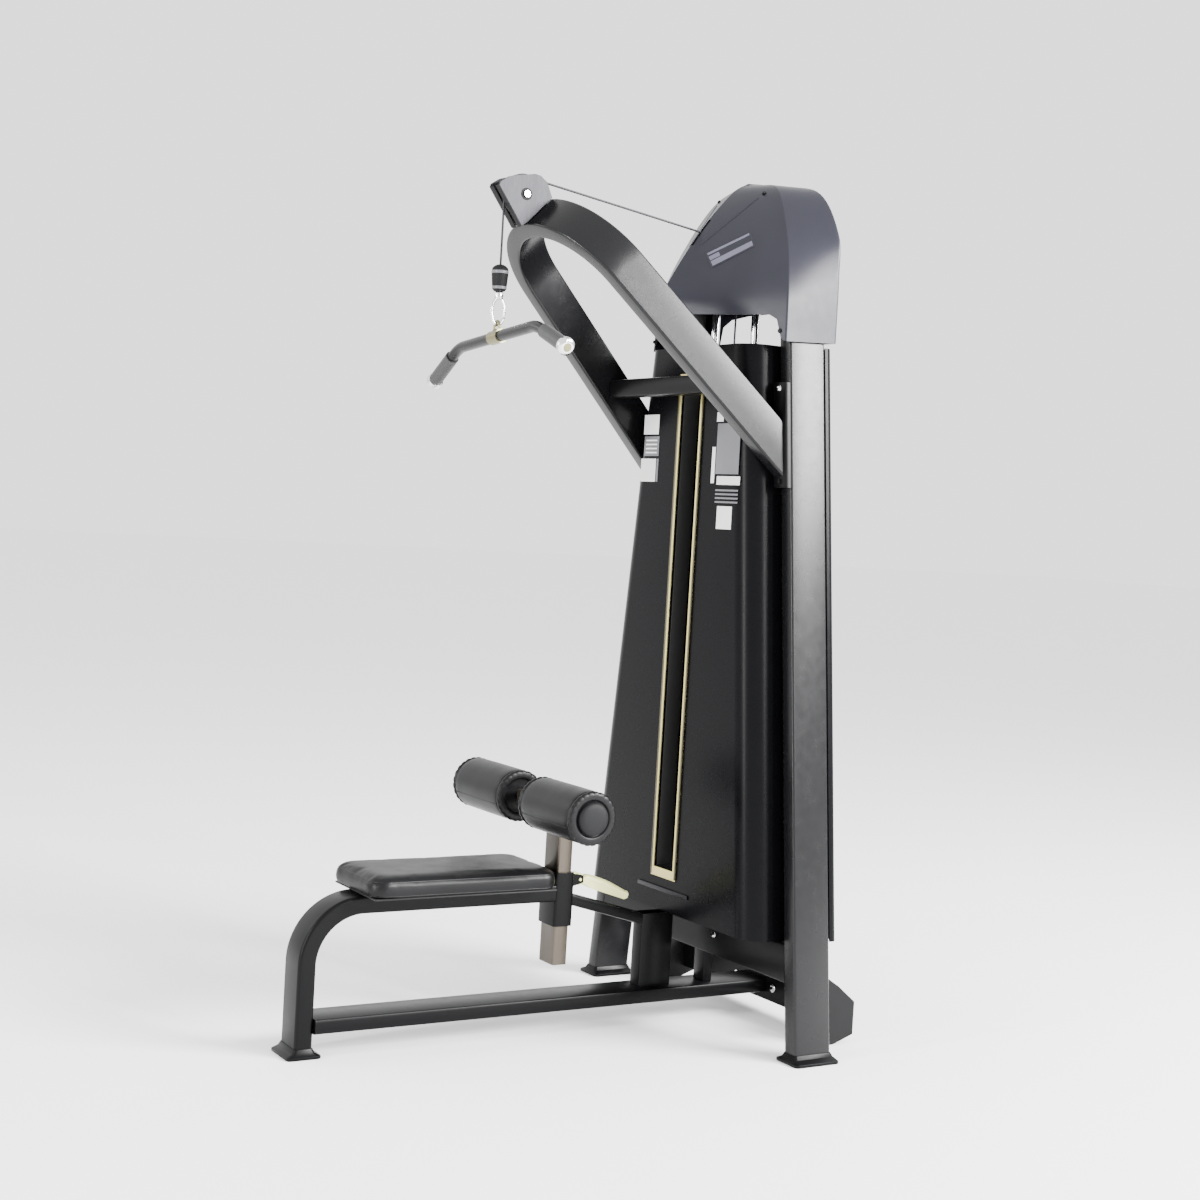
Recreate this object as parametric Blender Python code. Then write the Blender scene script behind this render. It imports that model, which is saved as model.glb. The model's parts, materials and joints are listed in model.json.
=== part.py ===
"""Lat pulldown machine: a leaning frame, a covered weight stack, a looped pulley arm, a seat, thigh rollers.

Metres, +Z up. The dimensions below have X = 0 at the machine's middle plane, Y = 0 at the uprights' centre
line and Z = 0 at the floor. The seat is towards -Y, left is -X and right is +X. At the end everything is
parented to an empty that moves it along Y, so that the origin is the middle of the machine's footprint.
"""

import math

import bmesh
import bpy
import numpy as np
from mathutils import Matrix

# ---------------------------------------------------------------- driving dimensions
GAP = 0.0003  # between pieces that touch
WALL = 0.003  # steel tube wall

UPRIGHT_FLOOR_X = 0.526  # upright's centre from the middle plane, at the floor
LEAN = 0.1149  # how far an upright leans inward, per metre of height
UPRIGHT_HALF_X = 0.025
UPRIGHT_HALF_Y = 0.060
UPRIGHT_TOP = 2.140
FOOT_HEIGHT = 0.026
FOOT_HALF_X, FOOT_HALF_Y = 0.050, 0.074
FRONT_FOOT_HALF_X, FRONT_FOOT_HALF_Y = 0.062, 0.048

SEAT_POST_Y = -1.273
SEAT_TUBE_HALF_X = 0.050
SEAT_TUBE_HALF = 0.025
SEAT_TUBE_Z = 0.395
SEAT_BEND_R = 0.155

BEAM_HALF_X = 0.060
BEAM_LOW, BEAM_HIGH = 0.062, 0.102
REAR_BEAM_FRONT, REAR_BEAM_REAR = 0.195, 0.240
REAR_BEAM_LOW, REAR_BEAM_HIGH = 0.040, 0.150
REAR_BEAM_SHOULDER = 0.112  # where its rear face turns forward, below the top
REAR_BEAM_HALF_X = 0.385
REAR_FOOT_THICK = 0.030
REAR_FOOT_OUTLINE = (  # Y and Z of the chamfered block on each end of the rear beam
    (0.132, 0.0), (0.177, 0.0), (0.2445, 0.023), (0.2445, 0.117), (0.180, 0.168), (0.149, 0.188), (0.132, 0.188),
)

PAD_POST_Y = -0.513
PAD_POST_HALF_X, PAD_POST_HALF_Y = 0.040, 0.0225
PAD_POST_LOW, PAD_POST_HIGH = 0.190, 0.690
SLEEVE_CLEARANCE = 0.001
SLEEVE_WALL = 0.006
SLEEVE_LOW, SLEEVE_HIGH = 0.300, 0.450
LEVER_Y, LEVER_Z = -0.450, 0.4245  # the adjuster lever's axis
LOCK_RADIUS = 0.0060
LOCK_PITCH = 0.025
CENTRAL_POST_Y = -0.182
CENTRAL_POST_HALF_X, CENTRAL_POST_HALF_Y = 0.025, 0.055
CENTRAL_POST_TOP = 0.3140

ROLLER_Y, ROLLER_Z = -0.613, 0.653
ROLLER_RADIUS = 0.073
ROLLER_INNER_X, ROLLER_OUTER_X = 0.055, 0.340
SHAFT_RADIUS = 0.0125

STACK_Y = -0.020
ROD_X = 0.100
ROD_RADIUS = 0.0125
STACK_BASE_LOW, STACK_BASE_HIGH = 0.207, 0.3145
STACK_BASE_FRONT, STACK_BASE_REAR = -0.058, 0.022
PLATE_HALF_X, PLATE_HALF_Y = 0.185, 0.065
PLATE_HEIGHT = 0.034
RESTING_PLATES, LIFTED_PLATES = 4, 3
BUMPER_HEIGHT = 0.065
SELECTOR_ROD_RADIUS = 0.0130
STACK_HEAD_HEIGHT = 0.045
PIN_RADIUS = 0.0045
PIN_CLEARANCE = 0.0006

COVER_Y = -0.155  # outside of the front cover
COVER_WALL = 0.004
COVER_CORNER = 0.070
COVER_FLOOR_X = 0.470  # cover's half width at the floor
COVER_LEAN = 0.107
COVER_LOW, COVER_HIGH = 0.315, 1.950
COVER_LIP_Y = -0.030  # rear of the lips that turn out to the uprights
SLOT_HALF_X, SLOT_LOW, SLOT_HIGH = 0.050, 0.438, 1.860
STRIP_HALF_X, STRIP_Z = 0.130, 0.377
REAR_COVER_LOW, REAR_COVER_HIGH = 0.322, 1.951
REAR_COVER_Y = 0.086

CROSSMEMBER_LOW, CROSSMEMBER_HIGH = 2.080, 2.136

ARM_PITCH = math.radians(43.9)  # the loop's plane, above the horizontal
ARM_ROOT_Z = 1.6625
ARM_ROOT_Y = -0.0803  # front of the flanges
ARM_ROOT_X = 0.3270
ARM_APEX_ALONG = 0.610  # centre of the loop's round end, along the arm from its root
ARM_APEX_RADIUS = 0.232
ARM_HALF_THICK = 0.025
ARM_HALF_WIDE = 0.0555

APEX_TOP = ARM_APEX_ALONG + ARM_APEX_RADIUS + ARM_HALF_THICK + GAP

CABLE_RADIUS = 0.003
PULLEY_RADIUS = 0.052  # at the cable's centre
PULLEY_RIM = 0.0045  # rim beyond the cable's centre
PULLEY_HALF_X = 0.0155
FRONT_PULLEY = (-0.748, 2.3015)  # Y and Z
HEAD_PULLEY = (STACK_Y - PULLEY_RADIUS, 2.2124)
AXLE_RADIUS = 0.006
AXLE_CLEARANCE = 0.00008
PULLEY_PLATE_X = 0.0235  # inner face
PULLEY_PLATE_THICK = 0.006
DROP_Y = FRONT_PULLEY[0] - PULLEY_RADIUS

STOPPER_HIGH, STOPPER_LOW = 2.108, 2.036
HOOK_LOW = 1.945
HOOK_WIRE = 0.0040
BAR_Z = 1.914
BAR_RADIUS = 0.0155
BAR_STRAIGHT_X, BAR_END_X, BAR_DROP = 0.220, 0.374, 0.076
BAR_TILT = math.radians(5.0)  # the bar hangs with its right end a little higher

SEAT_LOW, SEAT_HIGH = 0.4255, 0.482
SEAT_FRONT, SEAT_REAR = -1.150, -0.572
SEAT_HALF_X = 0.150

# ---------------------------------------------------------------- colours
FINISHES = {
    "frame_black": ((0.035, 0.036, 0.040), 0.38, 0.0),
    "upright_grey": ((0.060, 0.060, 0.066), 0.35, 0.0),
    "cover_charcoal": ((0.030, 0.031, 0.034), 0.45, 0.0),
    "head_slate": ((0.070, 0.070, 0.085), 0.42, 0.0),
    "gold_trim": ((0.62, 0.52, 0.20), 0.30, 0.7),
    "silver": ((0.62, 0.62, 0.64), 0.28, 0.9),
    "chrome": ((0.80, 0.80, 0.82), 0.12, 1.0),
    "bronze_tube": ((0.16, 0.145, 0.125), 0.34, 0.6),
    "vinyl": ((0.020, 0.020, 0.022), 0.55, 0.0),
    "yellow": ((0.75, 0.72, 0.18), 0.40, 0.0),
    "cast_iron": ((0.025, 0.025, 0.027), 0.60, 0.3),
    "rubber": ((0.018, 0.018, 0.019), 0.75, 0.0),
    "pulley_black": ((0.022, 0.022, 0.024), 0.50, 0.0),
    "plywood": ((0.42, 0.30, 0.18), 0.65, 0.0),
}


def clear_scene():
    for obj in list(bpy.data.objects):
        bpy.data.objects.remove(obj, do_unlink=True)


def centre_footprint():
    """Parents every object to an empty that brings the middle of the footprint to the origin."""
    front = SEAT_POST_Y - FRONT_FOOT_HALF_Y
    rear = max(y for y, _ in REAR_FOOT_OUTLINE)
    pieces = list(bpy.data.objects)
    machine = bpy.data.objects.new("machine", None)
    machine.location = (0.0, -(front + rear) / 2, 0.0)
    for obj in pieces:
        obj.parent = machine
    bpy.context.scene.collection.objects.link(machine)


def material(finish):
    """The Principled material of this finish, made once."""
    found = bpy.data.materials.get(finish)
    if found:
        return found
    colour, roughness, metallic = FINISHES[finish]
    made = bpy.data.materials.new(finish)
    made.use_nodes = True
    shader = made.node_tree.nodes["Principled BSDF"]
    shader.inputs["Base Color"].default_value = (*colour, 1.0)
    shader.inputs["Roughness"].default_value = roughness
    shader.inputs["Metallic"].default_value = metallic
    return made


def add(name, shape, finish, origin=(0.0, 0.0, 0.0), smooth=True):
    """Turns a bmesh in world coordinates into an object whose own origin is at the given point."""
    bmesh.ops.translate(shape, verts=shape.verts, vec=[-value for value in origin])
    bmesh.ops.recalc_face_normals(shape, faces=shape.faces)
    mesh = bpy.data.meshes.new(name)
    shape.to_mesh(mesh)
    shape.free()
    if smooth:
        mesh.shade_smooth()
        mesh.set_sharp_from_angle(angle=math.radians(35))
    mesh.materials.append(material(finish))
    obj = bpy.data.objects.new(name, mesh)
    obj.location = origin
    bpy.context.scene.collection.objects.link(obj)
    return obj


def cut(obj, shape, operation="DIFFERENCE"):
    """Cuts obj with a bmesh, through a hidden cutter object."""
    cutter = add(f"{obj.name}_tool_{len(obj.modifiers)}", shape, "rubber", smooth=False)
    cutter.hide_render = True
    cutter.display_type = "WIRE"
    modifier = obj.modifiers.new("cut", "BOOLEAN")
    modifier.operation = operation
    modifier.object = cutter
    modifier.solver = "EXACT"
    return obj


# ---------------------------------------------------------------- shapes
def rounded_rectangle(half_a, half_b, radius, steps=2):
    """Points (a, b) round a rectangle with round corners, counter-clockwise."""
    points = []
    for corner, (sign_a, sign_b) in enumerate(((1, 1), (-1, 1), (-1, -1), (1, -1))):
        for step in range(steps + 1):
            angle = math.radians(90 * corner + 90 * step / steps)
            points.append((
                sign_a * (half_a - radius) + radius * math.cos(angle),
                sign_b * (half_b - radius) + radius * math.sin(angle),
            ))
    return points


def circle(radius, count):
    """Points (a, b) round a circle, counter-clockwise."""
    return [
        (radius * math.cos(2 * math.pi * i / count), radius * math.sin(2 * math.pi * i / count))
        for i in range(count)
    ]


def loft(shape, rings, closed=False):
    """Skins rings of equal length with quads and returns the rings' vertices."""
    made = [[shape.verts.new(point) for point in ring] for ring in rings]
    following = made[1:] + made[:1] if closed else made[1:]
    for low, high in zip(made, following):
        for i in range(len(low)):
            j = (i + 1) % len(low)
            shape.faces.new((low[i], low[j], high[j], high[i]))
    return made


def bar_of(rings):
    """A solid bar through rings of points, with flat ends."""
    shape = bmesh.new()
    made = loft(shape, rings)
    shape.faces.new(made[0])
    shape.faces.new(made[-1])
    return shape


def tube_of(outer, inner):
    """A hollow bar, open at both ends, from its outer and its inner rings."""
    shape = bmesh.new()
    outside = loft(shape, outer)
    inside = loft(shape, inner)
    for end in (0, -1):
        for i in range(len(outside[end])):
            j = (i + 1) % len(outside[end])
            shape.faces.new((outside[end][i], outside[end][j], inside[end][j], inside[end][i]))
    return shape


def box(low, high, bevel=0.0):
    """A box between two corners, with its edges bevelled."""
    shape = bmesh.new()
    bmesh.ops.create_cube(shape, size=1.0)
    size = [b - a for a, b in zip(low, high)]
    middle = [(a + b) / 2 for a, b in zip(low, high)]
    bmesh.ops.scale(shape, verts=shape.verts, vec=size)
    bmesh.ops.translate(shape, verts=shape.verts, vec=middle)
    if bevel:
        bmesh.ops.bevel(
            shape, geom=shape.edges[:], offset=bevel, segments=2, affect="EDGES", profile=0.5
        )
    return shape


def turned_x(profile, y, z, count=24):
    """A closed profile of (x, radius) points turned about a line along X. A radius of 0 is a pole."""
    shape = bmesh.new()
    rings = []
    for x, radius in profile:
        if radius == 0:
            rings.append([shape.verts.new((x, y, z))])
        else:
            rings.append([shape.verts.new((x, y + a, z + b)) for a, b in circle(radius, count)])
    ends_on_axis = len(rings[0]) == 1
    following = rings[1:] if ends_on_axis else rings[1:] + rings[:1]
    for first, second in zip(rings, following):
        for i in range(count):
            j = (i + 1) % count
            corners = [first[i % len(first)], first[j % len(first)]]
            corners += [second[j % len(second)], second[i % len(second)]]
            shape.faces.new(list(dict.fromkeys(corners)))
    return shape


def rod(start, end, radius, count=16):
    """A solid round rod between two points."""
    start, end = np.array(start), np.array(end)
    along = (end - start) / np.linalg.norm(end - start)
    side = np.cross(along, (0.0, 0.0, 1.0) if abs(along[2]) < 0.9 else (1.0, 0.0, 0.0))
    side /= np.linalg.norm(side)
    up = np.cross(along, side)
    return bar_of([[p + a * side + b * up for a, b in circle(radius, count)] for p in (start, end)])


def merged(*shapes):
    """Several closed bmeshes that don't meet, in one bmesh, for use as one cutter."""
    whole = bmesh.new()
    for shape in shapes:
        mesh = bpy.data.meshes.new("part_of_cutter")
        shape.to_mesh(mesh)
        shape.free()
        whole.from_mesh(mesh)
        bpy.data.meshes.remove(mesh)
    return whole


def plate_yz(outline, x_low, x_high, bevel=0.0):
    """A flat plate with a (y, z) outline, between two values of X."""
    shape = bar_of([[(x, y, z) for y, z in outline] for x in (x_low, x_high)])
    if bevel:
        bmesh.ops.bevel(
            shape, geom=shape.edges[:], offset=bevel, segments=1, affect="EDGES", profile=0.5
        )
    return shape


def sweep(points, radius, count=10):
    """A curve object's data: a round tube on a poly line with filled caps."""
    data = bpy.data.curves.new("route", "CURVE")
    data.dimensions = "3D"
    data.bevel_depth = radius
    data.bevel_resolution = (count - 4) // 2
    data.use_fill_caps = True
    spline = data.splines.new("POLY")
    spline.points.add(len(points) - 1)
    for target, point in zip(spline.points, points):
        target.co = (*point, 1.0)
    return data


def add_sweep(name, points, radius, finish, count=10):
    data = sweep(points, radius, count)
    data.materials.append(material(finish))
    obj = bpy.data.objects.new(name, data)
    bpy.context.scene.collection.objects.link(obj)
    return obj


def upright_x(z):
    """The right upright's centre at this height."""
    return UPRIGHT_FLOOR_X - LEAN * z


def inner_face_x(z):
    return upright_x(z) - UPRIGHT_HALF_X


# ---------------------------------------------------------------- frame
def make_uprights():
    levels = (FOOT_HEIGHT + GAP, UPRIGHT_TOP)
    for side, name in ((-1, "upright_left"), (1, "upright_right")):
        rings = []
        for inset in (0.0, WALL):
            section = rounded_rectangle(
                UPRIGHT_HALF_X - inset, UPRIGHT_HALF_Y - inset, 0.007 - inset, 3
            )
            rings.append([
                [(side * upright_x(z) + a, b, z) for a, b in section] for z in levels
            ])
        add(name, tube_of(*rings), "upright_grey")


def flared_foot(centre_x, centre_y, base, top, bulge):
    """A shoe that spreads from the tube's outline to a wider flat base."""
    low = rounded_rectangle(*base, 0.012, 3)
    waist = rounded_rectangle(top[0] + bulge, top[1] + bulge, 0.010, 3)
    high = rounded_rectangle(*top, 0.008, 3)
    heights = ((0.0, low), (0.007, low), (0.015, waist), (FOOT_HEIGHT, high))
    return bar_of([
        [(centre_x(z) + a, centre_y + b, z) for a, b in section] for z, section in heights
    ])


def make_feet():
    for side, name in ((-1, "foot_left"), (1, "foot_right")):
        shoe = flared_foot(
            lambda z, side=side: side * upright_x(z), 0.0, (FOOT_HALF_X, FOOT_HALF_Y), (0.0265, 0.0615), 0.006
        )
        add(name, shoe, "upright_grey")
    base = (FRONT_FOOT_HALF_X, FRONT_FOOT_HALF_Y)
    shoe = flared_foot(lambda z: 0.0, SEAT_POST_Y, base, (0.0515, 0.0265), 0.005)
    add("front_foot", shoe, "frame_black")


def seat_frame_path():
    """(y, z, direction) along the front post, its bend and the seat tube."""
    path = [(SEAT_POST_Y, FOOT_HEIGHT + GAP, math.pi / 2)]
    steps = 10
    for step in range(steps + 1):
        turn = math.pi / 2 * step / steps
        path.append((
            SEAT_POST_Y + SEAT_BEND_R * (1 - math.cos(turn)),
            SEAT_TUBE_Z - SEAT_BEND_R * (1 - math.sin(turn)),
            math.pi / 2 - turn,
        ))
    sleeve_front = PAD_POST_Y - PAD_POST_HALF_Y - SLEEVE_CLEARANCE - SLEEVE_WALL
    path.append((sleeve_front - GAP, SEAT_TUBE_Z, 0.0))
    return path


def path_rings(path, half_x, half_t, inset, radius):
    section = rounded_rectangle(half_x - inset, half_t - inset, radius - inset, 2)
    rings = []
    for y, z, direction in path:
        normal_y, normal_z = -math.sin(direction), math.cos(direction)
        rings.append([(a, y + b * normal_y, z + b * normal_z) for a, b in section])
    return rings


def make_seat_frame():
    path = seat_frame_path()
    outer = path_rings(path, SEAT_TUBE_HALF_X, SEAT_TUBE_HALF, 0.0, 0.010)
    inner = path_rings(path, SEAT_TUBE_HALF_X, SEAT_TUBE_HALF, WALL, 0.010)
    add("seat_frame", tube_of(outer, inner), "frame_black")


def make_base():
    middle = (BEAM_LOW + BEAM_HIGH) / 2
    half_z = (BEAM_HIGH - BEAM_LOW) / 2
    ends = (SEAT_POST_Y + SEAT_TUBE_HALF + GAP, REAR_BEAM_FRONT - GAP)
    rings = [
        [
            [(a, y, middle + b) for a, b in rounded_rectangle(
                BEAM_HALF_X - inset, half_z - inset, 0.007 - inset, 2)]
            for y in ends
        ]
        for inset in (0.0, WALL)
    ]
    add("base_beam", tube_of(*rings), "frame_black")

    rings = []
    for inset in (0.0, WALL):
        front, rear = REAR_BEAM_FRONT + inset, REAR_BEAM_REAR - inset
        low, high = REAR_BEAM_LOW + inset, REAR_BEAM_HIGH - inset
        outline = (
            (front, low), (rear, low), (rear, REAR_BEAM_SHOULDER - inset / 2),
            (front + 0.012, high), (front, high),
        )
        rings.append([
            [(x, y, z) for y, z in outline] for x in (-REAR_BEAM_HALF_X, REAR_BEAM_HALF_X)
        ])
    add("rear_beam", tube_of(*rings), "frame_black", smooth=False)
    for side, name in ((-1, "rear_foot_left"), (1, "rear_foot_right")):
        inner = side * (REAR_BEAM_HALF_X + GAP)
        outer = side * (REAR_BEAM_HALF_X + REAR_FOOT_THICK)
        add(name, plate_yz(REAR_FOOT_OUTLINE, inner, outer, 0.002), "rubber", smooth=False)


def make_central_post():
    low, high = BEAM_HIGH + GAP, CENTRAL_POST_TOP
    rings = [
        [
            [(a, CENTRAL_POST_Y + b, z) for a, b in rounded_rectangle(
                CENTRAL_POST_HALF_X - inset, CENTRAL_POST_HALF_Y - inset, 0.007 - inset, 2)]
            for z in (low, high)
        ]
        for inset in (0.0, WALL)
    ]
    add("central_post", tube_of(*rings), "frame_black")

    sleeve_rear = PAD_POST_Y + PAD_POST_HALF_Y + SLEEVE_CLEARANCE + SLEEVE_WALL
    ends = (
        (sleeve_rear + GAP, 0.371),
        (CENTRAL_POST_Y - CENTRAL_POST_HALF_Y - GAP, 0.3005),
    )
    rings = [
        [
            [(a, y, z + b) for a, b in rounded_rectangle(0.030 - inset, 0.0160 - inset, 0.006 - inset, 2)]
            for y, z in ends
        ]
        for inset in (0.0, WALL)
    ]
    add("link_tube", tube_of(*rings), "frame_black")


def make_sleeve():
    inner = (PAD_POST_HALF_X + SLEEVE_CLEARANCE, PAD_POST_HALF_Y + SLEEVE_CLEARANCE)
    rings = []
    for extra, radius in ((SLEEVE_WALL, 0.008), (0.0, 0.004)):
        section = rounded_rectangle(inner[0] + extra, inner[1] + extra, radius, 3)
        rings.append([
            [(a, PAD_POST_Y + b, z) for a, b in section] for z in (SLEEVE_LOW, SLEEVE_HIGH)
        ])
    sleeve = add("post_sleeve", tube_of(*rings), "frame_black")
    rear = PAD_POST_Y + PAD_POST_HALF_Y
    wall_rear = rear + SLEEVE_CLEARANCE + SLEEVE_WALL
    for side in (-1, 1):
        ear = (
            (wall_rear - 0.001, LEVER_Z - 0.022), (LEVER_Y + 0.012, LEVER_Z - 0.010),
            (LEVER_Y + 0.012, LEVER_Z + 0.010), (LEVER_Y, LEVER_Z + 0.014), (wall_rear - 0.001, LEVER_Z + 0.018),
        )
        cut(sleeve, plate_yz(ear, side * 0.0165, side * 0.0205, 0.0008), "UNION")
    cut(sleeve, rod((-0.03, LEVER_Y, LEVER_Z), (0.03, LEVER_Y, LEVER_Z), 0.0043, 16))
    cut(sleeve, rod((0, rear - 0.002, LEVER_Z), (0, rear + 0.020, LEVER_Z), LOCK_RADIUS + 0.0002, 16))


def lean_tube(name, low, high, y_low, y_high, finish, wall=WALL):
    """A cross tube between the uprights, its ends cut to their lean."""
    rings = []
    for inset in (0.0, wall):
        section = rounded_rectangle((y_high - y_low) / 2 - inset, (high - low) / 2 - inset, 0.007 - inset, 2)
        middle_y, middle_z = (y_low + y_high) / 2, (low + high) / 2
        rings.append([
            [(side * (inner_face_x(middle_z + b) - GAP), middle_y + a, middle_z + b) for a, b in section]
            for side in (-1, 1)
        ])
    return add(name, tube_of(*rings), finish)


def cable_hole(radius):
    """A cutter down the stack cable's line, through the crossmember and what stands on it."""
    return rod((0, STACK_Y, CROSSMEMBER_LOW - 0.02), (0, STACK_Y, CROSSMEMBER_HIGH + 0.02), radius, 16)


def make_cross_tubes():
    base = lean_tube(
        "stack_base", STACK_BASE_LOW, STACK_BASE_HIGH, STACK_BASE_FRONT, STACK_BASE_REAR, "frame_black"
    )
    pedestal = box((-0.025, -0.012, BEAM_HIGH + GAP), (0.025, 0.018, STACK_BASE_LOW + 0.001), 0.001)
    cut(base, pedestal, "UNION")
    half = 0.030
    top = lean_tube(
        "top_crossmember", CROSSMEMBER_LOW, CROSSMEMBER_HIGH, STACK_Y - half, STACK_Y + half, "frame_black"
    )
    cut(top, cable_hole(0.016))


# ---------------------------------------------------------------- pulley arm
def arm_point(across, along, out):
    """A point of the loop: across in X, along up the arm, out square to the loop's plane."""
    return (
        across,
        ARM_ROOT_Y - along * math.cos(ARM_PITCH) + out * math.sin(ARM_PITCH),
        ARM_ROOT_Z + along * math.sin(ARM_PITCH) + out * math.cos(ARM_PITCH),
    )


def arm_path():
    """(across, along, normal across, normal along): up the right leg, round the end, down the left leg."""
    distance = math.hypot(ARM_ROOT_X, ARM_APEX_ALONG)
    direction = math.atan2(ARM_APEX_ALONG, -ARM_ROOT_X) - math.asin(ARM_APEX_RADIUS / distance)
    start = direction - math.pi / 2
    steps = 16
    bend = []
    for step in range(steps + 1):
        angle = start + (math.pi - 2 * start) * step / steps
        bend.append((
            ARM_APEX_RADIUS * math.cos(angle),
            ARM_APEX_ALONG + ARM_APEX_RADIUS * math.sin(angle),
            math.cos(angle),
            math.sin(angle),
        ))
    leg = (ARM_ROOT_X, 0.0, math.cos(start), math.sin(start))
    mirrored = (-leg[0], leg[1], -leg[2], leg[3])
    return [leg, *bend, mirrored]


def arm_rings(inset):
    """The arm's rings. At the two roots they are cut square to Y, against the flanges."""
    section = rounded_rectangle(ARM_HALF_THICK - inset, ARM_HALF_WIDE - inset, 0.007 - inset, 2)
    path = arm_path()
    rings = []
    for place, (across, along, normal_x, normal_s) in enumerate(path):
        ring = []
        for a, b in section:
            x = across + a * normal_x
            s = along + a * normal_s
            if place in (0, len(path) - 1):
                slide = (b * math.sin(ARM_PITCH) + GAP) / math.cos(ARM_PITCH) - s
                x += slide * -math.copysign(1, across) * abs(normal_s / normal_x)
                s += slide
            ring.append(arm_point(x, s, b))
        rings.append(ring)
    return rings


def make_arm():
    add("pulley_arm", tube_of(arm_rings(0.0), arm_rings(WALL)), "upright_grey")
    for side, name in ((-1, "arm_flange_left"), (1, "arm_flange_right")):
        rings = []
        for z in (1.555, 1.845):
            section = rounded_rectangle(0.030, 0.0098, 0.004, 2)
            rings.append([(side * upright_x(z) + a, -0.0703 + b, z) for a, b in section])
        add(name, bar_of(rings), "frame_black")
    y, z, half = -0.249, 1.8275, 0.0255
    along = (ARM_ROOT_Y - y) * math.cos(ARM_PITCH) + (z - ARM_ROOT_Z) * math.sin(ARM_PITCH)
    _, _, out, up = arm_path()[0]
    far_along = along + half * math.sqrt(2)
    reach = ARM_ROOT_X - far_along * up / out - ARM_HALF_THICK / out - 2 * GAP
    rings = [
        [
            [(x, y + a, z + b) for a, b in rounded_rectangle(half - inset, half - inset, 0.006 - inset, 2)]
            for x in (-reach, reach)
        ]
        for inset in (0.0, WALL)
    ]
    add("arm_crossbar", tube_of(*rings), "frame_black")


def make_pulley_bracket():
    foot_low, foot_high = arm_point(0, APEX_TOP, -0.050), arm_point(0, APEX_TOP, 0.053)
    outline = (
        foot_low[1:], (-0.757, 2.214), (-0.832, 2.315), (-0.829, 2.324), (-0.804, 2.341),
        (-0.790, 2.3455), (-0.724, 2.3585), (-0.707, 2.356), (-0.686, 2.341), foot_high[1:],
    )
    for side, name in ((-1, "pulley_plate_left"), (1, "pulley_plate_right")):
        x_low = side * PULLEY_PLATE_X
        x_high = side * (PULLEY_PLATE_X + PULLEY_PLATE_THICK)
        plate = add(name, plate_yz(outline, x_low, x_high, 0.0006), "silver", smooth=False)
        y, z = FRONT_PULLEY
        hole = rod((side * 0.015, y, z), (side * 0.040, y, z), AXLE_RADIUS + GAP, 24)
        cut(plate, hole)
    make_axle("front_pulley_axle", *FRONT_PULLEY)


def make_axle(name, y, z):
    """A bolt through both cheeks, with a round head at each end."""
    head_start = PULLEY_PLATE_X + PULLEY_PLATE_THICK + GAP
    head_end = head_start + 0.005
    profile = [
        (-head_end, 0.0), (-head_end, 0.010), (-head_start, 0.011), (-head_start, AXLE_RADIUS),
        (head_start, AXLE_RADIUS), (head_start, 0.011), (head_end, 0.010), (head_end, 0.0),
    ]
    add(name, turned_x(profile, y, z, 16), "chrome")


def make_pulley(name, y, z):
    """A grooved wheel with a plain bore."""
    bore = AXLE_RADIUS + AXLE_CLEARANCE
    rim = PULLEY_RADIUS + PULLEY_RIM
    floor = PULLEY_RADIUS - CABLE_RADIUS - 0.0005
    half = PULLEY_HALF_X
    profile = [
        (-half, bore), (-half, 0.016), (-half + 0.005, 0.018), (-half + 0.005, 0.041),
        (-half + 0.003, 0.043), (-half + 0.003, rim), (-0.0075, rim), (-0.0038, floor),
        (0.0038, floor), (0.0075, rim), (half - 0.003, rim), (half - 0.003, 0.043),
        (half - 0.005, 0.041), (half - 0.005, 0.018), (half, 0.016), (half, bore),
    ]
    add(name, turned_x(profile, y, z, 26), "pulley_black", origin=(0.0, y, z))


def make_head_bracket():
    y, z = HEAD_PULLEY
    foot = CROSSMEMBER_HIGH + GAP
    strap = box((-0.0295, y - 0.028, foot), (0.0295, STACK_Y + 0.028, foot + 0.006))
    bracket = add("head_bracket", strap, "silver", smooth=False)
    for side in (-1, 1):
        cheek = plate_yz(
            ((y - 0.024, foot + 0.002), (y + 0.024, foot + 0.002), (y + 0.020, z + 0.020), (y - 0.020, z + 0.020)),
            side * PULLEY_PLATE_X,
            side * (PULLEY_PLATE_X + PULLEY_PLATE_THICK),
        )
        cut(bracket, cheek, "UNION")
    cut(bracket, cable_hole(0.012))
    cut(bracket, rod((-0.040, y, z), (0.040, y, z), AXLE_RADIUS + GAP, 24))
    make_axle("head_pulley_axle", y, z)


# ---------------------------------------------------------------- weight stack
def on_rods(shape_name, low, high, half_x, half_y, corner, centre_bore):
    """A rounded block from low to high that rides the two guide rods, bored down its middle."""
    section = rounded_rectangle(half_x, half_y, corner, 2)
    inset = rounded_rectangle(half_x - 0.0015, half_y - 0.0015, corner - 0.0015, 2)
    levels = ((low, inset), (low + 0.0015, section), (high - 0.0015, section), (high, inset))
    rings = [[(a, STACK_Y + b, z) for a, b in outline] for z, outline in levels]
    block = add(shape_name, bar_of(rings), "cast_iron")
    for x, radius in ((-ROD_X, ROD_RADIUS + 0.0015), (ROD_X, ROD_RADIUS + 0.0015), (0.0, centre_bore)):
        if radius:
            cut(block, rod((x, STACK_Y, low - 0.01), (x, STACK_Y, high + 0.01), radius, 16))
    return block


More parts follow.
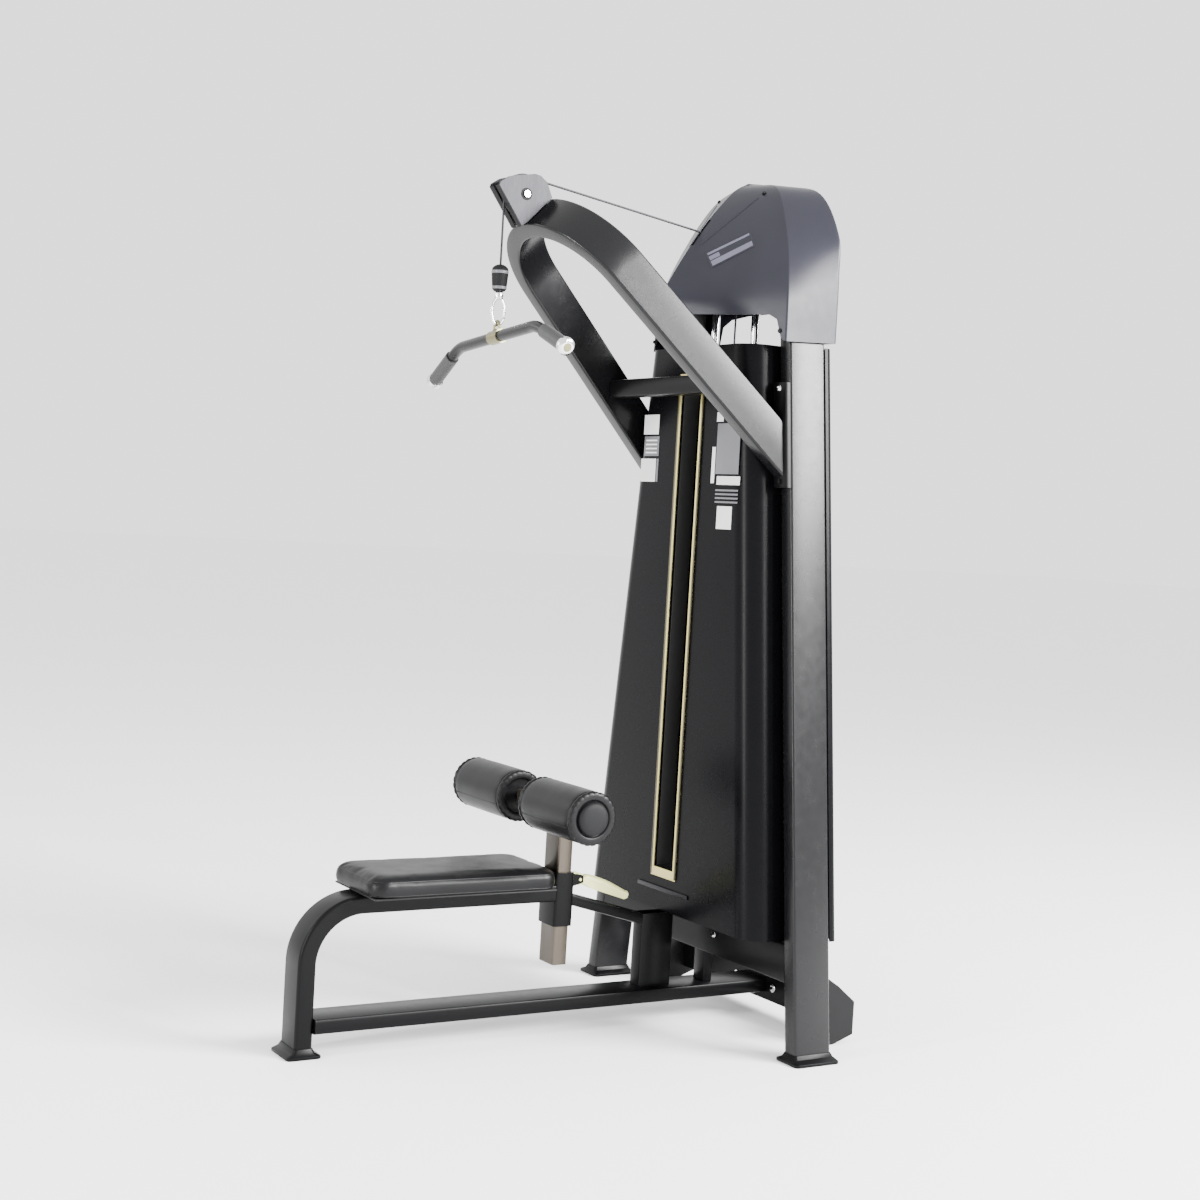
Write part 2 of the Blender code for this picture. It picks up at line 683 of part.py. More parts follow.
def make_guides():
    low, high = STACK_BASE_HIGH + GAP, CROSSMEMBER_LOW - GAP
    for side, name in ((-1, "left"), (1, "right")):
        x = side * ROD_X
        add(f"guide_rod_{name}", rod((x, STACK_Y, low), (x, STACK_Y, high), ROD_RADIUS, 16), "chrome")
        steps = ((0.0, 0.020), (0.030, 0.020), (0.031, 0.028), (BUMPER_HEIGHT - GAP, 0.028))
        outside = [[(x + a, STACK_Y + b, low + z) for a, b in circle(r, 16)] for z, r in steps]
        bore = ROD_RADIUS + GAP
        inside = [[(x + a, STACK_Y + b, low + z) for a, b in circle(bore, 16)] for z, r in steps]
        add(f"bumper_{name}", tube_of(outside, inside), "rubber")


def make_stack():
    """The weight plates, the stack head with its selector rod, and the selector pin. Returns the rod's top."""
    low = STACK_BASE_HIGH + BUMPER_HEIGHT + GAP
    bore = SELECTOR_ROD_RADIUS + 0.003
    pin_bore = PIN_RADIUS + PIN_CLEARANCE
    for index in range(RESTING_PLATES + LIFTED_PLATES):
        lifted = index >= RESTING_PLATES
        number = index - RESTING_PLATES if lifted else index
        name = f"{'lifted' if lifted else 'resting'}_plate_{number + 1}"
        bottom = low + index * PLATE_HEIGHT
        plate = on_rods(
            name, bottom, bottom + PLATE_HEIGHT - GAP, PLATE_HALF_X, PLATE_HALF_Y, 0.006, bore
        )
        middle = bottom + PLATE_HEIGHT / 2
        cut(plate, rod((0, STACK_Y - 0.10, middle), (0, STACK_Y + 0.03, middle), pin_bore, 8))
    pin_z = low + (RESTING_PLATES + 0.5) * PLATE_HEIGHT
    head_low = low + (RESTING_PLATES + LIFTED_PLATES) * PLATE_HEIGHT
    head_high = head_low + STACK_HEAD_HEIGHT
    on_rods("stack_head", head_low, head_high, 0.150, 0.045, 0.006, SELECTOR_ROD_RADIUS + GAP)

    rod_top = head_high + 0.040
    selector = add(
        "selector_rod",
        turned_z(
            (
                (SELECTOR_ROD_RADIUS, low + 0.012), (SELECTOR_ROD_RADIUS, head_high + GAP),
                (0.019, head_high + GAP), (0.019, head_high + 0.014), (0.011, head_high + 0.016),
                (0.011, rod_top - 0.003), (0.008, rod_top),
            ),
            0.0, STACK_Y,
        ),
        "chrome",
    )
    for index in range(1, RESTING_PLATES + LIFTED_PLATES):
        middle = low + (index + 0.5) * PLATE_HEIGHT
        cut(selector, rod((0, STACK_Y - 0.03, middle), (0, STACK_Y + 0.03, middle), pin_bore, 8))

    knob_start = STACK_Y - PLATE_HALF_Y - GAP
    profile = (
        (STACK_Y + 0.018, PIN_RADIUS), (knob_start, PIN_RADIUS), (knob_start, 0.012),
        (knob_start - 0.006, 0.014), (knob_start - 0.022, 0.013), (knob_start - 0.025, 0.010),
    )
    pin = bar_of([[(a, y, pin_z + b) for a, b in circle(radius, 16)] for y, radius in profile])
    add("selector_pin", pin, "rubber", origin=(0.0, knob_start, pin_z))
    return rod_top


# ---------------------------------------------------------------- cable and bar
def cable_points():
    """The cable's fixed run in the middle plane: over the head pulley, along, and over the front pulley."""
    steps = 6
    slope = math.atan2(HEAD_PULLEY[1] - FRONT_PULLEY[1], HEAD_PULLEY[0] - FRONT_PULLEY[0])
    points = []
    for step in range(steps + 1):
        angle = (math.pi / 2 + slope) * step / steps
        y, z = PULLEY_RADIUS * math.cos(angle), PULLEY_RADIUS * math.sin(angle)
        points.append((0.0, HEAD_PULLEY[0] + y, HEAD_PULLEY[1] + z))
    for step in range(steps + 1):
        angle = math.pi / 2 + slope + (math.pi / 2 - slope) * step / steps
        y, z = PULLEY_RADIUS * math.cos(angle), PULLEY_RADIUS * math.sin(angle)
        points.append((0.0, FRONT_PULLEY[0] + y, FRONT_PULLEY[1] + z))
    return points


def make_cable(stack_top):
    add_sweep("cable_run", cable_points(), CABLE_RADIUS, "silver")
    lift = [(0.0, STACK_Y, stack_top + GAP), (0.0, STACK_Y, HEAD_PULLEY[1] - 2 * GAP)]
    add_sweep("cable_lift", lift, CABLE_RADIUS, "silver")
    drop = [(0.0, DROP_Y, STOPPER_HIGH + GAP), (0.0, DROP_Y, FRONT_PULLEY[1] - 2 * GAP)]
    add_sweep("cable_drop", drop, CABLE_RADIUS, "silver")


def turned_z(profile, x, y, count=18):
    """A profile of (radius, z) points, bottom to top, turned about a vertical line."""
    return bar_of([[(x + a, y + b, z) for a, b in circle(radius, count)] for radius, z in profile])


def ring_yz(centre, half_y, half_z, wire, count=20):
    """An oval ring of round wire in the plane X = centre X."""
    x, y, z = centre
    shape = bmesh.new()
    rings = []
    for i in range(count):
        angle = 2 * math.pi * i / count
        out = np.array((0.0, math.cos(angle) * half_z, math.sin(angle) * half_y))
        out /= np.linalg.norm(out)
        middle = np.array((x, y + half_y * math.cos(angle), z + half_z * math.sin(angle)))
        rings.append([middle + a * out + b * np.array((1.0, 0.0, 0.0)) for a, b in circle(wire, 8)])
    loft(shape, rings, closed=True)
    return shape


def make_cable_end():
    profile = (
        (0.012, STOPPER_LOW), (0.018, STOPPER_LOW + 0.004), (0.021, STOPPER_LOW + 0.018),
        (0.023, STOPPER_LOW + 0.042), (0.022, STOPPER_HIGH - 0.012), (0.015, STOPPER_HIGH - 0.002),
        (0.009, STOPPER_HIGH),
    )
    add("cable_stopper", turned_z(profile, 0.0, DROP_Y), "rubber", origin=(0.0, DROP_Y, STOPPER_HIGH))
    neck_high = STOPPER_LOW - GAP
    neck = turned_z(
        ((0.007, neck_high - 0.022), (0.011, neck_high - 0.019), (0.012, neck_high - 0.004), (0.009, neck_high)),
        0.0, DROP_Y, 20,
    )
    hook = add("swivel_hook", neck, "chrome", origin=(0.0, DROP_Y, neck_high))
    middle = (neck_high - 0.020 + HOOK_LOW) / 2 + 0.002
    half = (neck_high - 0.018 - HOOK_LOW) / 2
    cut(hook, ring_yz((0.0, DROP_Y, middle), 0.019, half, HOOK_WIRE), "UNION")


def tilted(x, z):
    """A point of the bar's plane, turned about the eye by the bar's tilt."""
    z_eye = BAR_Z
    return (
        x * math.cos(BAR_TILT) - (z - z_eye) * math.sin(BAR_TILT),
        DROP_Y,
        z_eye + x * math.sin(BAR_TILT) + (z - z_eye) * math.cos(BAR_TILT),
    )


def bar_route(x_from, x_to, count):
    """Points along the bar's centre line: straight in the middle, bent down towards each end."""
    slope = BAR_DROP / (BAR_END_X - BAR_STRAIGHT_X)
    soft = 0.030
    points = []
    for i in range(count + 1):
        x = x_from + (x_to - x_from) * i / count
        past = abs(x) - BAR_STRAIGHT_X
        if past <= -soft:
            fall = 0.0
        elif past >= soft:
            fall = slope * past
        else:
            fall = slope * (past + soft) ** 2 / (4 * soft)
        points.append(tilted(x, BAR_Z - fall))
    return points


def make_bar():
    """The bent bar with the eye that it hangs from."""
    route = bar_route(-BAR_END_X, BAR_END_X, 26)
    shape = bmesh.new()
    rings = []
    for i, point in enumerate(route):
        before, after = np.array(route[max(i - 1, 0)]), np.array(route[min(i + 1, len(route) - 1)])
        along = (after - before) / np.linalg.norm(after - before)
        up = np.cross(along, (0.0, 1.0, 0.0))
        rings.append([
            np.array(point) + a * np.array((0.0, 1.0, 0.0)) + b * up for a, b in circle(BAR_RADIUS, 12)
        ])
    made = loft(shape, rings)
    shape.faces.new(made[0])
    shape.faces.new(made[-1])
    eye_wire, eye_half = HOOK_WIRE, 0.0165
    eye_z = BAR_Z + 0.0260
    bar = add("lat_bar", shape, "upright_grey", origin=(0.0, DROP_Y, HOOK_LOW))
    eye = ring_yz((0.0, 0.0, 0.0), 0.0135, eye_half, eye_wire)
    bmesh.ops.rotate(eye, verts=eye.verts, cent=(0, 0, 0), matrix=Matrix.Rotation(math.radians(90), 3, "Z"))
    bmesh.ops.translate(eye, verts=eye.verts, vec=(0.0, DROP_Y, eye_z))
    cut(bar, eye, "UNION")


# ---------------------------------------------------------------- covers
def front_section(z, inset):
    """(x, y) points of the front cover's plan at this height, from its right lip round to its left."""
    half = COVER_FLOOR_X - COVER_LEAN * z - inset
    radius = COVER_CORNER - inset
    front = COVER_Y + inset
    lip_y = COVER_LIP_Y - COVER_WALL + inset
    right = [(inner_face_x(z) - GAP, lip_y), (half, lip_y)]
    steps = 6
    for step in range(steps + 1):
        angle = math.pi / 2 * step / steps
        right.append((half - radius + radius * math.cos(angle), front + radius - radius * math.sin(angle)))
    return right + [(-x, y) for x, y in reversed(right)]


def shell_of(outer, inner):
    """A thin shell between two open profiles, lofted up through their levels."""
    rings = [
        [(x, y, z) for x, y in outside] + [(x, y, z) for x, y in reversed(inside)]
        for z, outside, inside in zip(*outer, inner[1])
    ]
    return bar_of(rings)


def make_front_cover():
    levels = [COVER_LOW, COVER_HIGH]
    outside = [front_section(z, 0.0) for z in levels]
    inside = [front_section(z, COVER_WALL) for z in levels]
    cover = add("front_cover", shell_of((levels, outside), (levels, inside)), "cover_charcoal")
    cut(cover, box((-SLOT_HALF_X, COVER_Y - 0.02, SLOT_LOW), (SLOT_HALF_X, COVER_Y + 0.02, SLOT_HIGH)))

    rail = 0.013
    face = COVER_Y - GAP
    trim = add(
        "slot_trim",
        box((-SLOT_HALF_X - rail, face - 0.004, SLOT_LOW - 0.027), (SLOT_HALF_X + rail, face, SLOT_HIGH + rail), 0.001),
        "gold_trim",
        smooth=False,
    )
    cut(trim, box((-SLOT_HALF_X - 0.0002, face - 0.02, SLOT_LOW), (SLOT_HALF_X + 0.0002, face + 0.02, SLOT_HIGH)))
    add(
        "cover_strip",
        box((-STRIP_HALF_X, face - 0.005, STRIP_Z - 0.006), (STRIP_HALF_X, face, STRIP_Z + 0.006), 0.001),
        "silver",
        smooth=False,
    )


def rear_section(z, inset):
    """(x, y) points of the rear cover's plan, a shallow tray behind both uprights."""
    half = upright_x(z) + UPRIGHT_HALF_X - inset
    radius = 0.016 - inset
    back = REAR_COVER_Y - inset
    right = [(half, UPRIGHT_HALF_Y + GAP)]
    steps = 4
    for step in range(steps + 1):
        angle = math.pi / 2 * step / steps
        right.append((half - radius + radius * math.cos(angle), back - radius + radius * math.sin(angle)))
    return right + [(-x, y) for x, y in reversed(right)]


def make_rear_cover():
    levels = [REAR_COVER_LOW, REAR_COVER_HIGH]
    outside = [rear_section(z, 0.0) for z in levels]
    inside = [rear_section(z, COVER_WALL) for z in levels]
    add("rear_cover", shell_of((levels, outside), (levels, inside)), "cover_charcoal")


# Four lines run up each half of the head cover and meet on its crest.
HEAD_RIDGE = (
    (0.0, -0.282, 2.030), (0.0, -0.272, 2.100), (0.0, -0.163, 2.277), (0.0, -0.060, 2.400), (0.0, -0.005, 2.436),
)
HEAD_CREASE = (
    (0.337, -0.082, 1.957), (0.325, -0.077, 2.100), (0.272, -0.050, 2.240), (0.150, -0.005, 2.400),
    (0.0, 0.040, 2.440),
)
HEAD_CORNER = (
    (0.337, 0.090, 1.957), (0.334, 0.090, 2.150), (0.322, 0.089, 2.270), (0.215, 0.088, 2.400),
    (0.0, 0.086, 2.436),
)
HEAD_BACK = (
    (0.0, 0.102, 1.957), (0.0, 0.102, 2.150), (0.0, 0.102, 2.270), (0.0, 0.100, 2.390), (0.0, 0.094, 2.430),
)
HEAD_WALL = 0.004


def smooth_line(points, count):
    """Points on a Catmull-Rom curve through the given points, by distance along them."""
    points = np.array(points, float)
    padded = np.vstack((2 * points[0] - points[1], points, 2 * points[-1] - points[-2]))
    result = []
    spans = len(points) - 1
    for i in range(count + 1):
        t = spans * i / count
        k = min(int(t), spans - 1)
        t -= k
        a, b, c, d = padded[k : k + 4]
        square, cube = 2 * a - 5 * b + 4 * c - d, 3 * b - a - 3 * c + d
        result.append(0.5 * (2 * b + (c - a) * t + square * t**2 + cube * t**3))
    return np.array(result)


HEAD_COLUMNS = (  # share of the way from one line to the next, and how far the rim is above the crease's
    ("ridge", 0.0, 0.073), ("ridge", 0.30, 0.073), ("ridge", 0.60, 0.073), ("ridge", 0.86, 0.073),
    ("ridge", 0.92, 0.060), ("ridge", 0.955, 0.010), ("ridge", 0.985, 0.0), ("crease", 0.03, 0.0),
    ("crease", 0.50, 0.004), ("crease", 0.95, 0.008), ("corner", 0.06, 0.009), ("corner", 0.28, 0.010),
    ("corner", 0.33, 0.085), ("corner", 0.45, 0.105), ("corner", 0.70, 0.112), ("corner", 1.0, 0.112),
)


def resampled(line, low, count):
    """The part of a rising line above a height, as evenly spaced points."""
    above = line[:, 2] > low
    first = int(np.argmax(above))
    share = (low - line[first - 1, 2]) / (line[first, 2] - line[first - 1, 2]) if first else 0.0
    start = line[first - 1] + (line[first] - line[first - 1]) * share if first else line[0]
    kept = np.vstack((start, line[first:]))
    distance = np.concatenate(([0.0], np.cumsum(np.linalg.norm(np.diff(kept, axis=0), axis=1))))
    wanted = np.linspace(0.0, distance[-1], count + 1)
    return np.stack([np.interp(wanted, distance, kept[:, axis]) for axis in range(3)], axis=1)


def head_grid(rows):
    """The right half's outer surface: rows from the rim to the crest, columns from the ridge to the back."""
    ridge, crease, corner, back = (
        smooth_line(line, 60) for line in (HEAD_RIDGE, HEAD_CREASE, HEAD_CORNER, HEAD_BACK)
    )
    pairs = {"ridge": (ridge, crease), "crease": (crease, corner), "corner": (corner, back)}
    columns = []
    for pair, share, rise in HEAD_COLUMNS:
        start, end = pairs[pair]
        columns.append(resampled(start + (end - start) * share, HEAD_CREASE[0][2] + rise, rows))
    return np.stack(columns, axis=1)


def make_head_covers():
    rows = 8
    outer = head_grid(rows)
    centre = np.array((0.0, 0.0, 2.16))
    away = outer - centre
    shrink = np.array((0.012, 0.020, 0.012))
    inner = outer - HEAD_WALL * away / (np.abs(away) + shrink)
    inner[0, :, 2] = outer[0, :, 2]
    middle_gap = 0.0003
    for side, name in ((-1, "head_cover_left"), (1, "head_cover_right")):
        shape = bmesh.new()
        skins = []
        for grid in (outer, inner):
            placed = grid.copy()
            placed[..., 0] = side * np.maximum(placed[..., 0], middle_gap)
            skins.append([[shape.verts.new(point) for point in row] for row in placed])
        last_row, last_column = rows, outer.shape[1] - 1
        for skin in skins:
            for i in range(last_row):
                for j in range(last_column):
                    shape.faces.new((skin[i][j], skin[i][j + 1], skin[i + 1][j + 1], skin[i + 1][j]))
        edge = [(0, j) for j in range(last_column)]
        edge += [(i, last_column) for i in range(last_row)]
        edge += [(last_row, j) for j in range(last_column, 0, -1)]
        edge += [(i, 0) for i in range(last_row, 0, -1)]
        for (i, j), (k, m) in zip(edge, edge[1:] + edge[:1]):
            shape.faces.new((skins[0][i][j], skins[0][k][m], skins[1][k][m], skins[1][i][j]))
        half = add(name, shape, "head_slate")
        cut(half, box((-0.007, -0.30, 2.235), (0.007, -0.085, 2.315)))


# ---------------------------------------------------------------- seat and thigh rollers
def make_seat():
    board_high = SEAT_LOW - GAP
    board_low = SEAT_TUBE_Z + SEAT_TUBE_HALF + GAP
    add(
        "seat_board",
        box(
            (-SEAT_HALF_X + 0.018, SEAT_FRONT + 0.020, board_low),
            (SEAT_HALF_X - 0.018, SEAT_REAR - 0.015, board_high), 0.002,
        ),
        "plywood",
        smooth=False,
    )
    rings = []
    corner = 0.050
    steps = (
        (SEAT_LOW, 0.006), (SEAT_LOW + 0.010, 0.0), (SEAT_LOW + 0.034, 0.0),
        (SEAT_HIGH - 0.008, 0.008), (SEAT_HIGH, 0.022),
    )
    for z, inset in steps:
        middle_y = (SEAT_FRONT + SEAT_REAR) / 2
        half_y = (SEAT_REAR - SEAT_FRONT) / 2
        section = rounded_rectangle(SEAT_HALF_X - inset, half_y - inset, corner - inset, 5)
        rings.append([(a, middle_y + b, z) for a, b in section])
    add("seat_pad", bar_of(rings), "vinyl")


def make_pad_post():
    rings = []
    for inset in (0.0, WALL):
        section = rounded_rectangle(PAD_POST_HALF_X - inset, PAD_POST_HALF_Y - inset, 0.005 - inset, 2)
        rings.append([
            [(a, PAD_POST_Y + b, z) for a, b in section] for z in (PAD_POST_LOW, PAD_POST_HIGH)
        ])
    post = add("pad_post", tube_of(*rings), "bronze_tube", origin=(0.0, PAD_POST_Y, ROLLER_Z))
    holes = [
        rod((0, PAD_POST_Y + 0.005, z), (0, PAD_POST_Y + 0.030, z), LOCK_RADIUS + 0.0005, 8)
        for z in (LEVER_Z + LOCK_PITCH * step for step in range(-4, 5))
    ]
    cut(post, merged(*holes))
    post_front = PAD_POST_Y - PAD_POST_HALF_Y + 0.001
    bracket = box((-0.038, ROLLER_Y - 0.024, ROLLER_Z - 0.024), (0.038, post_front, ROLLER_Z + 0.024), 0.003)
    cut(post, bracket, "UNION")
    cut(post, rod((-0.05, ROLLER_Y, ROLLER_Z), (0.05, ROLLER_Y, ROLLER_Z), SHAFT_RADIUS + GAP, 24))
    end = ROLLER_OUTER_X + 0.004
    add("roller_shaft", rod((-end, ROLLER_Y, ROLLER_Z), (end, ROLLER_Y, ROLLER_Z), SHAFT_RADIUS, 24), "chrome")


def make_rollers():
    bore = SHAFT_RADIUS + AXLE_CLEARANCE
    for side, name in ((-1, "left"), (1, "right")):
        inner, outer = ROLLER_INNER_X, ROLLER_OUTER_X
        profile = [
            (inner, bore), (inner, 0.055), (inner + 0.006, 0.067), (inner + 0.016, ROLLER_RADIUS),
            (outer - 0.016, ROLLER_RADIUS), (outer - 0.006, 0.067), (outer, 0.055), (outer, bore),
        ]
        turned = turned_x([(side * x, radius) for x, radius in profile], ROLLER_Y, ROLLER_Z, 28)
        add(f"roller_{name}", turned, "vinyl", origin=(side * (inner + outer) / 2, ROLLER_Y, ROLLER_Z))


def make_adjuster():
    """A hub on the sleeve's rear face, its hand lever and the locking pin that it draws."""
    hub = [(-0.0160, 0.0), (-0.0160, 0.0110), (0.0160, 0.0110), (0.0160, 0.0)]
    lever = add("adjuster_lever", turned_x(hub, LEVER_Y, LEVER_Z, 16), "yellow", origin=(0.0, LEVER_Y, LEVER_Z))
    axle = [(-0.0240, 0.0), (-0.0240, 0.0040), (0.0240, 0.0040), (0.0240, 0.0)]
    cut(lever, turned_x(axle, LEVER_Y, LEVER_Z, 12), "UNION")
    outline = (
        (LEVER_Y + 0.002, LEVER_Z - 0.009), (-0.405, 0.3940), (-0.292, 0.3570), (-0.281, 0.3610),
        (-0.279, 0.3710), (-0.288, 0.3790), (-0.405, 0.4210), (LEVER_Y + 0.004, LEVER_Z + 0.0105),
    )
    cut(lever, plate_yz(outline, -0.012, 0.012, 0.002), "UNION")
    tip = PAD_POST_Y + PAD_POST_HALF_Y + 0.0006
    tail = LEVER_Y - 0.0235
    pin = rod((0.0, tip, LEVER_Z), (0.0, tail, LEVER_Z), LOCK_RADIUS, 16)
    add("locking_pin", pin, "chrome", origin=(0.0, tip, LEVER_Z))


def main():
    clear_scene()
    make_uprights()
    make_feet()
    make_seat_frame()
    make_base()
    make_central_post()
    make_sleeve()
    make_cross_tubes()
    make_arm()
    make_pulley_bracket()
    make_pulley("front_pulley", *FRONT_PULLEY)
    make_head_bracket()
    make_pulley("head_pulley", *HEAD_PULLEY)
    make_guides()
    stack_top = make_stack()
    make_cable(stack_top)
    make_cable_end()
    make_bar()
    make_front_cover()
    make_rear_cover()
    make_head_covers()
    make_seat()
    make_pad_post()
    make_rollers()
    make_adjuster()
    centre_footprint()


main()
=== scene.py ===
# %% [markdown]
# # A lat pulldown machine
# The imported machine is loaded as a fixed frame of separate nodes, in metres, with +Z up.
# This lesson dresses that frame. Some nodes only get a finish. Others are made again as finer surfaces,
# and small fittings such as bolts, caps and placards are added.

import json
import math

import bmesh
import bpy
import numpy as np
from mathutils import Matrix, Vector


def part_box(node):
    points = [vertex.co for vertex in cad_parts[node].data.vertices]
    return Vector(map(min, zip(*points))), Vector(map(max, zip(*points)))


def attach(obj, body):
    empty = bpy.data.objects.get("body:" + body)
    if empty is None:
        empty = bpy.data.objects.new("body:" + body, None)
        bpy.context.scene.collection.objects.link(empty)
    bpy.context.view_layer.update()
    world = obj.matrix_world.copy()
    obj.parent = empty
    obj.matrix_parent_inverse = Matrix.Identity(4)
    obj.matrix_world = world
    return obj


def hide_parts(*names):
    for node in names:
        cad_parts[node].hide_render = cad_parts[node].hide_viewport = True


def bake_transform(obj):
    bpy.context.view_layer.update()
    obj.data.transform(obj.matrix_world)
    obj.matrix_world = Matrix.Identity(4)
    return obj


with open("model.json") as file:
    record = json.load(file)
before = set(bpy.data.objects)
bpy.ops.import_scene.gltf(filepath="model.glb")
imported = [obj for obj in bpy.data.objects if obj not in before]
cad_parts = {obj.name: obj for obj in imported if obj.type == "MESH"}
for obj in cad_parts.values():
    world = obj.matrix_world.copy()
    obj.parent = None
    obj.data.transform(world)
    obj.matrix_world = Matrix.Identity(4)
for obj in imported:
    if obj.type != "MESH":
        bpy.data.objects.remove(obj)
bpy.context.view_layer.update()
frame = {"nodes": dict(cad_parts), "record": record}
NODE_BODY = {node: body for body, nodes in frame["record"]["behaviour"]["bodies"].items() for node in nodes}
NODE_SLOT = {row["node"]: row["material_slot"] for row in frame["record"]["subparts"]}
SEAT_FRONT_AS_DRAWN = -1.150  # the seat's front edge on the drawing, before the footprint was centred
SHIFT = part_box("seat_pad")[0].y - SEAT_FRONT_AS_DRAWN
print("nodes", len(frame["nodes"]), "shift", round(SHIFT, 5))

# %% [markdown]
# ## Camera
# The machine is seen from its front right, a little from above, with the camera rolled by about three degrees.
# Writing the camera as three turns (azimuth, pitch and roll) keeps each one readable.

# %% Camera
AZIMUTH, PITCH, ROLL = (math.radians(angle) for angle in (58.72, 2.42, 3.34))
VIEWPOINT = Vector((4.5925, -2.67725, 1.44))
LENS_MM = 57.3
looking = Vector((-math.sin(AZIMUTH) * math.cos(PITCH), math.cos(AZIMUTH) * math.cos(PITCH), -math.sin(PITCH)))
level = Vector((math.cos(AZIMUTH), math.sin(AZIMUTH), 0.0))
upward = level.cross(looking)
right = level * math.cos(ROLL) + upward * math.sin(ROLL)
top = upward * math.cos(ROLL) - level * math.sin(ROLL)
camera = bpy.data.objects.new("camera", bpy.data.cameras.new("camera"))
camera.data.lens = LENS_MM
camera.matrix_world = Matrix((
    (right.x, top.x, -looking.x, VIEWPOINT.x),
    (right.y, top.y, -looking.y, VIEWPOINT.y),
    (right.z, top.z, -looking.z, VIEWPOINT.z),
    (0.0, 0.0, 0.0, 1.0),
))
bpy.context.scene.collection.objects.link(camera)
bpy.context.scene.camera = camera
print("camera at", tuple(round(v, 3) for v in VIEWPOINT))

# %% [markdown]
# ## Mesh helpers
# Every new surface is a grid of points worked out by numpy from two parameters, then put into a mesh whole.
# One function joins a grid's neighbours into quads, and closes its rows or columns into loops where asked.


# %% Grid to mesh
def grid_faces(rows, columns, loop_rows=False, loop_columns=False, start=0):
    """Quads of a grid: (i, j) joins (i, j+1), (i+1, j+1) and (i+1, j); a loop's last line joins its first."""
    i = np.arange(rows if loop_rows else rows - 1)[:, None]
    j = np.arange(columns if loop_columns else columns - 1)[None, :]
    below, beside = (i + 1) % rows, (j + 1) % columns
    quads = np.stack([i * columns + j, i * columns + beside, below * columns + beside, below * columns + j], axis=-1)
    return (quads.reshape(-1, 4) + start).tolist()


def object_from(name, points, faces, smooth=True, sharp=40.0, merge=True):
    """A mesh object from arrays of points and faces, its faces turned outwards and its hard edges marked sharp."""
    mesh = bpy.data.meshes.new(name)
    mesh.from_pydata(np.asarray(points, float).reshape(-1, 3).tolist(), [], faces)
    shape = bmesh.new()
    shape.from_mesh(mesh)
    if merge:
        bmesh.ops.remove_doubles(shape, verts=shape.verts, dist=1e-6)
        bmesh.ops.recalc_face_normals(shape, faces=shape.faces)
    shape.to_mesh(mesh)
    shape.free()
    mesh.polygons.foreach_set("use_smooth", [smooth] * len(mesh.polygons))
    if smooth:
        mesh.set_sharp_from_angle(angle=math.radians(sharp))
    made = bpy.data.objects.new(name, mesh)
    bpy.context.scene.collection.objects.link(made)
    return made


def lofted(name, rings, **looks):
    """A closed solid whose skin runs through a stack of equal rings: each end ring is filled by one face."""
    rings = np.asarray(rings, float)
    count, size = rings.shape[:2]
    faces = grid_faces(count, size, loop_columns=True)
    faces += [list(range(size)), list(range((count - 1) * size, count * size))]
    return object_from(name, rings, faces, **looks)


def turned(name, profile, centre, axis="X", count=64, **looks):
    """A profile of (place along the axis, radius) turned about it: angle t gives radius times (cos t, sin t)."""
    profile = np.asarray(profile, float)
    angle = np.linspace(0.0, 2 * np.pi, count, endpoint=False)
    along = np.broadcast_to(profile[:, 0, None], (len(profile), count))
    first = profile[:, 1, None] * np.cos(angle)
    second = profile[:, 1, None] * np.sin(angle)
    order = {"X": (along, first, second), "Y": (second, along, first), "Z": (first, second, along)}[axis]
    rings = np.stack(order, axis=-1) + np.asarray(centre, float)
    return lofted(name, rings, **looks)


def hollow_turned(name, profile, centre, axis="X", count=64, **looks):
    """A closed loop profile of (place, radius) turned about an axis, which leaves a bore down the middle."""
    profile = np.asarray(profile, float)
    angle = np.linspace(0.0, 2 * np.pi, count, endpoint=False)[:, None]
    along = np.broadcast_to(profile[:, 0], (count, len(profile)))
    first, second = profile[:, 1] * np.cos(angle), profile[:, 1] * np.sin(angle)
    order = {"X": (along, first, second), "Y": (second, along, first), "Z": (first, second, along)}[axis]
    points = np.stack(order, axis=-1) + np.asarray(centre, float)
    return object_from(name, points, grid_faces(count, len(profile), True, True), **looks)


def rounded_outline(half_a, half_b, radius, steps=6):
    """Points round a rectangle with quarter-circle corners: corner centre plus radius times (cos t, sin t)."""
    angle = np.linspace(0.0, np.pi / 2, steps + 1)
    quarter = np.stack([np.cos(angle), np.sin(angle)], axis=1) * radius
    corners = []
    for turn, (sign_a, sign_b) in enumerate(((1, 1), (-1, 1), (-1, -1), (1, -1))):
        c, s = math.cos(turn * math.pi / 2), math.sin(turn * math.pi / 2)
        spun = quarter @ np.array([[c, s], [-s, c]])
        corners.append(spun + (sign_a * (half_a - radius), sign_b * (half_b - radius)))
    return np.concatenate(corners)


def swept(name, path, section, across, out, **looks):
    """A section of (a, b) carried along a path: each point is path + a times across + b times out."""
    path, across, out = (np.asarray(values, float)[:, None, :] for values in (path, across, out))
    section = np.asarray(section, float)
    rings = path + section[None, :, :1] * across + section[None, :, 1:] * out
    return lofted(name, rings, **looks)


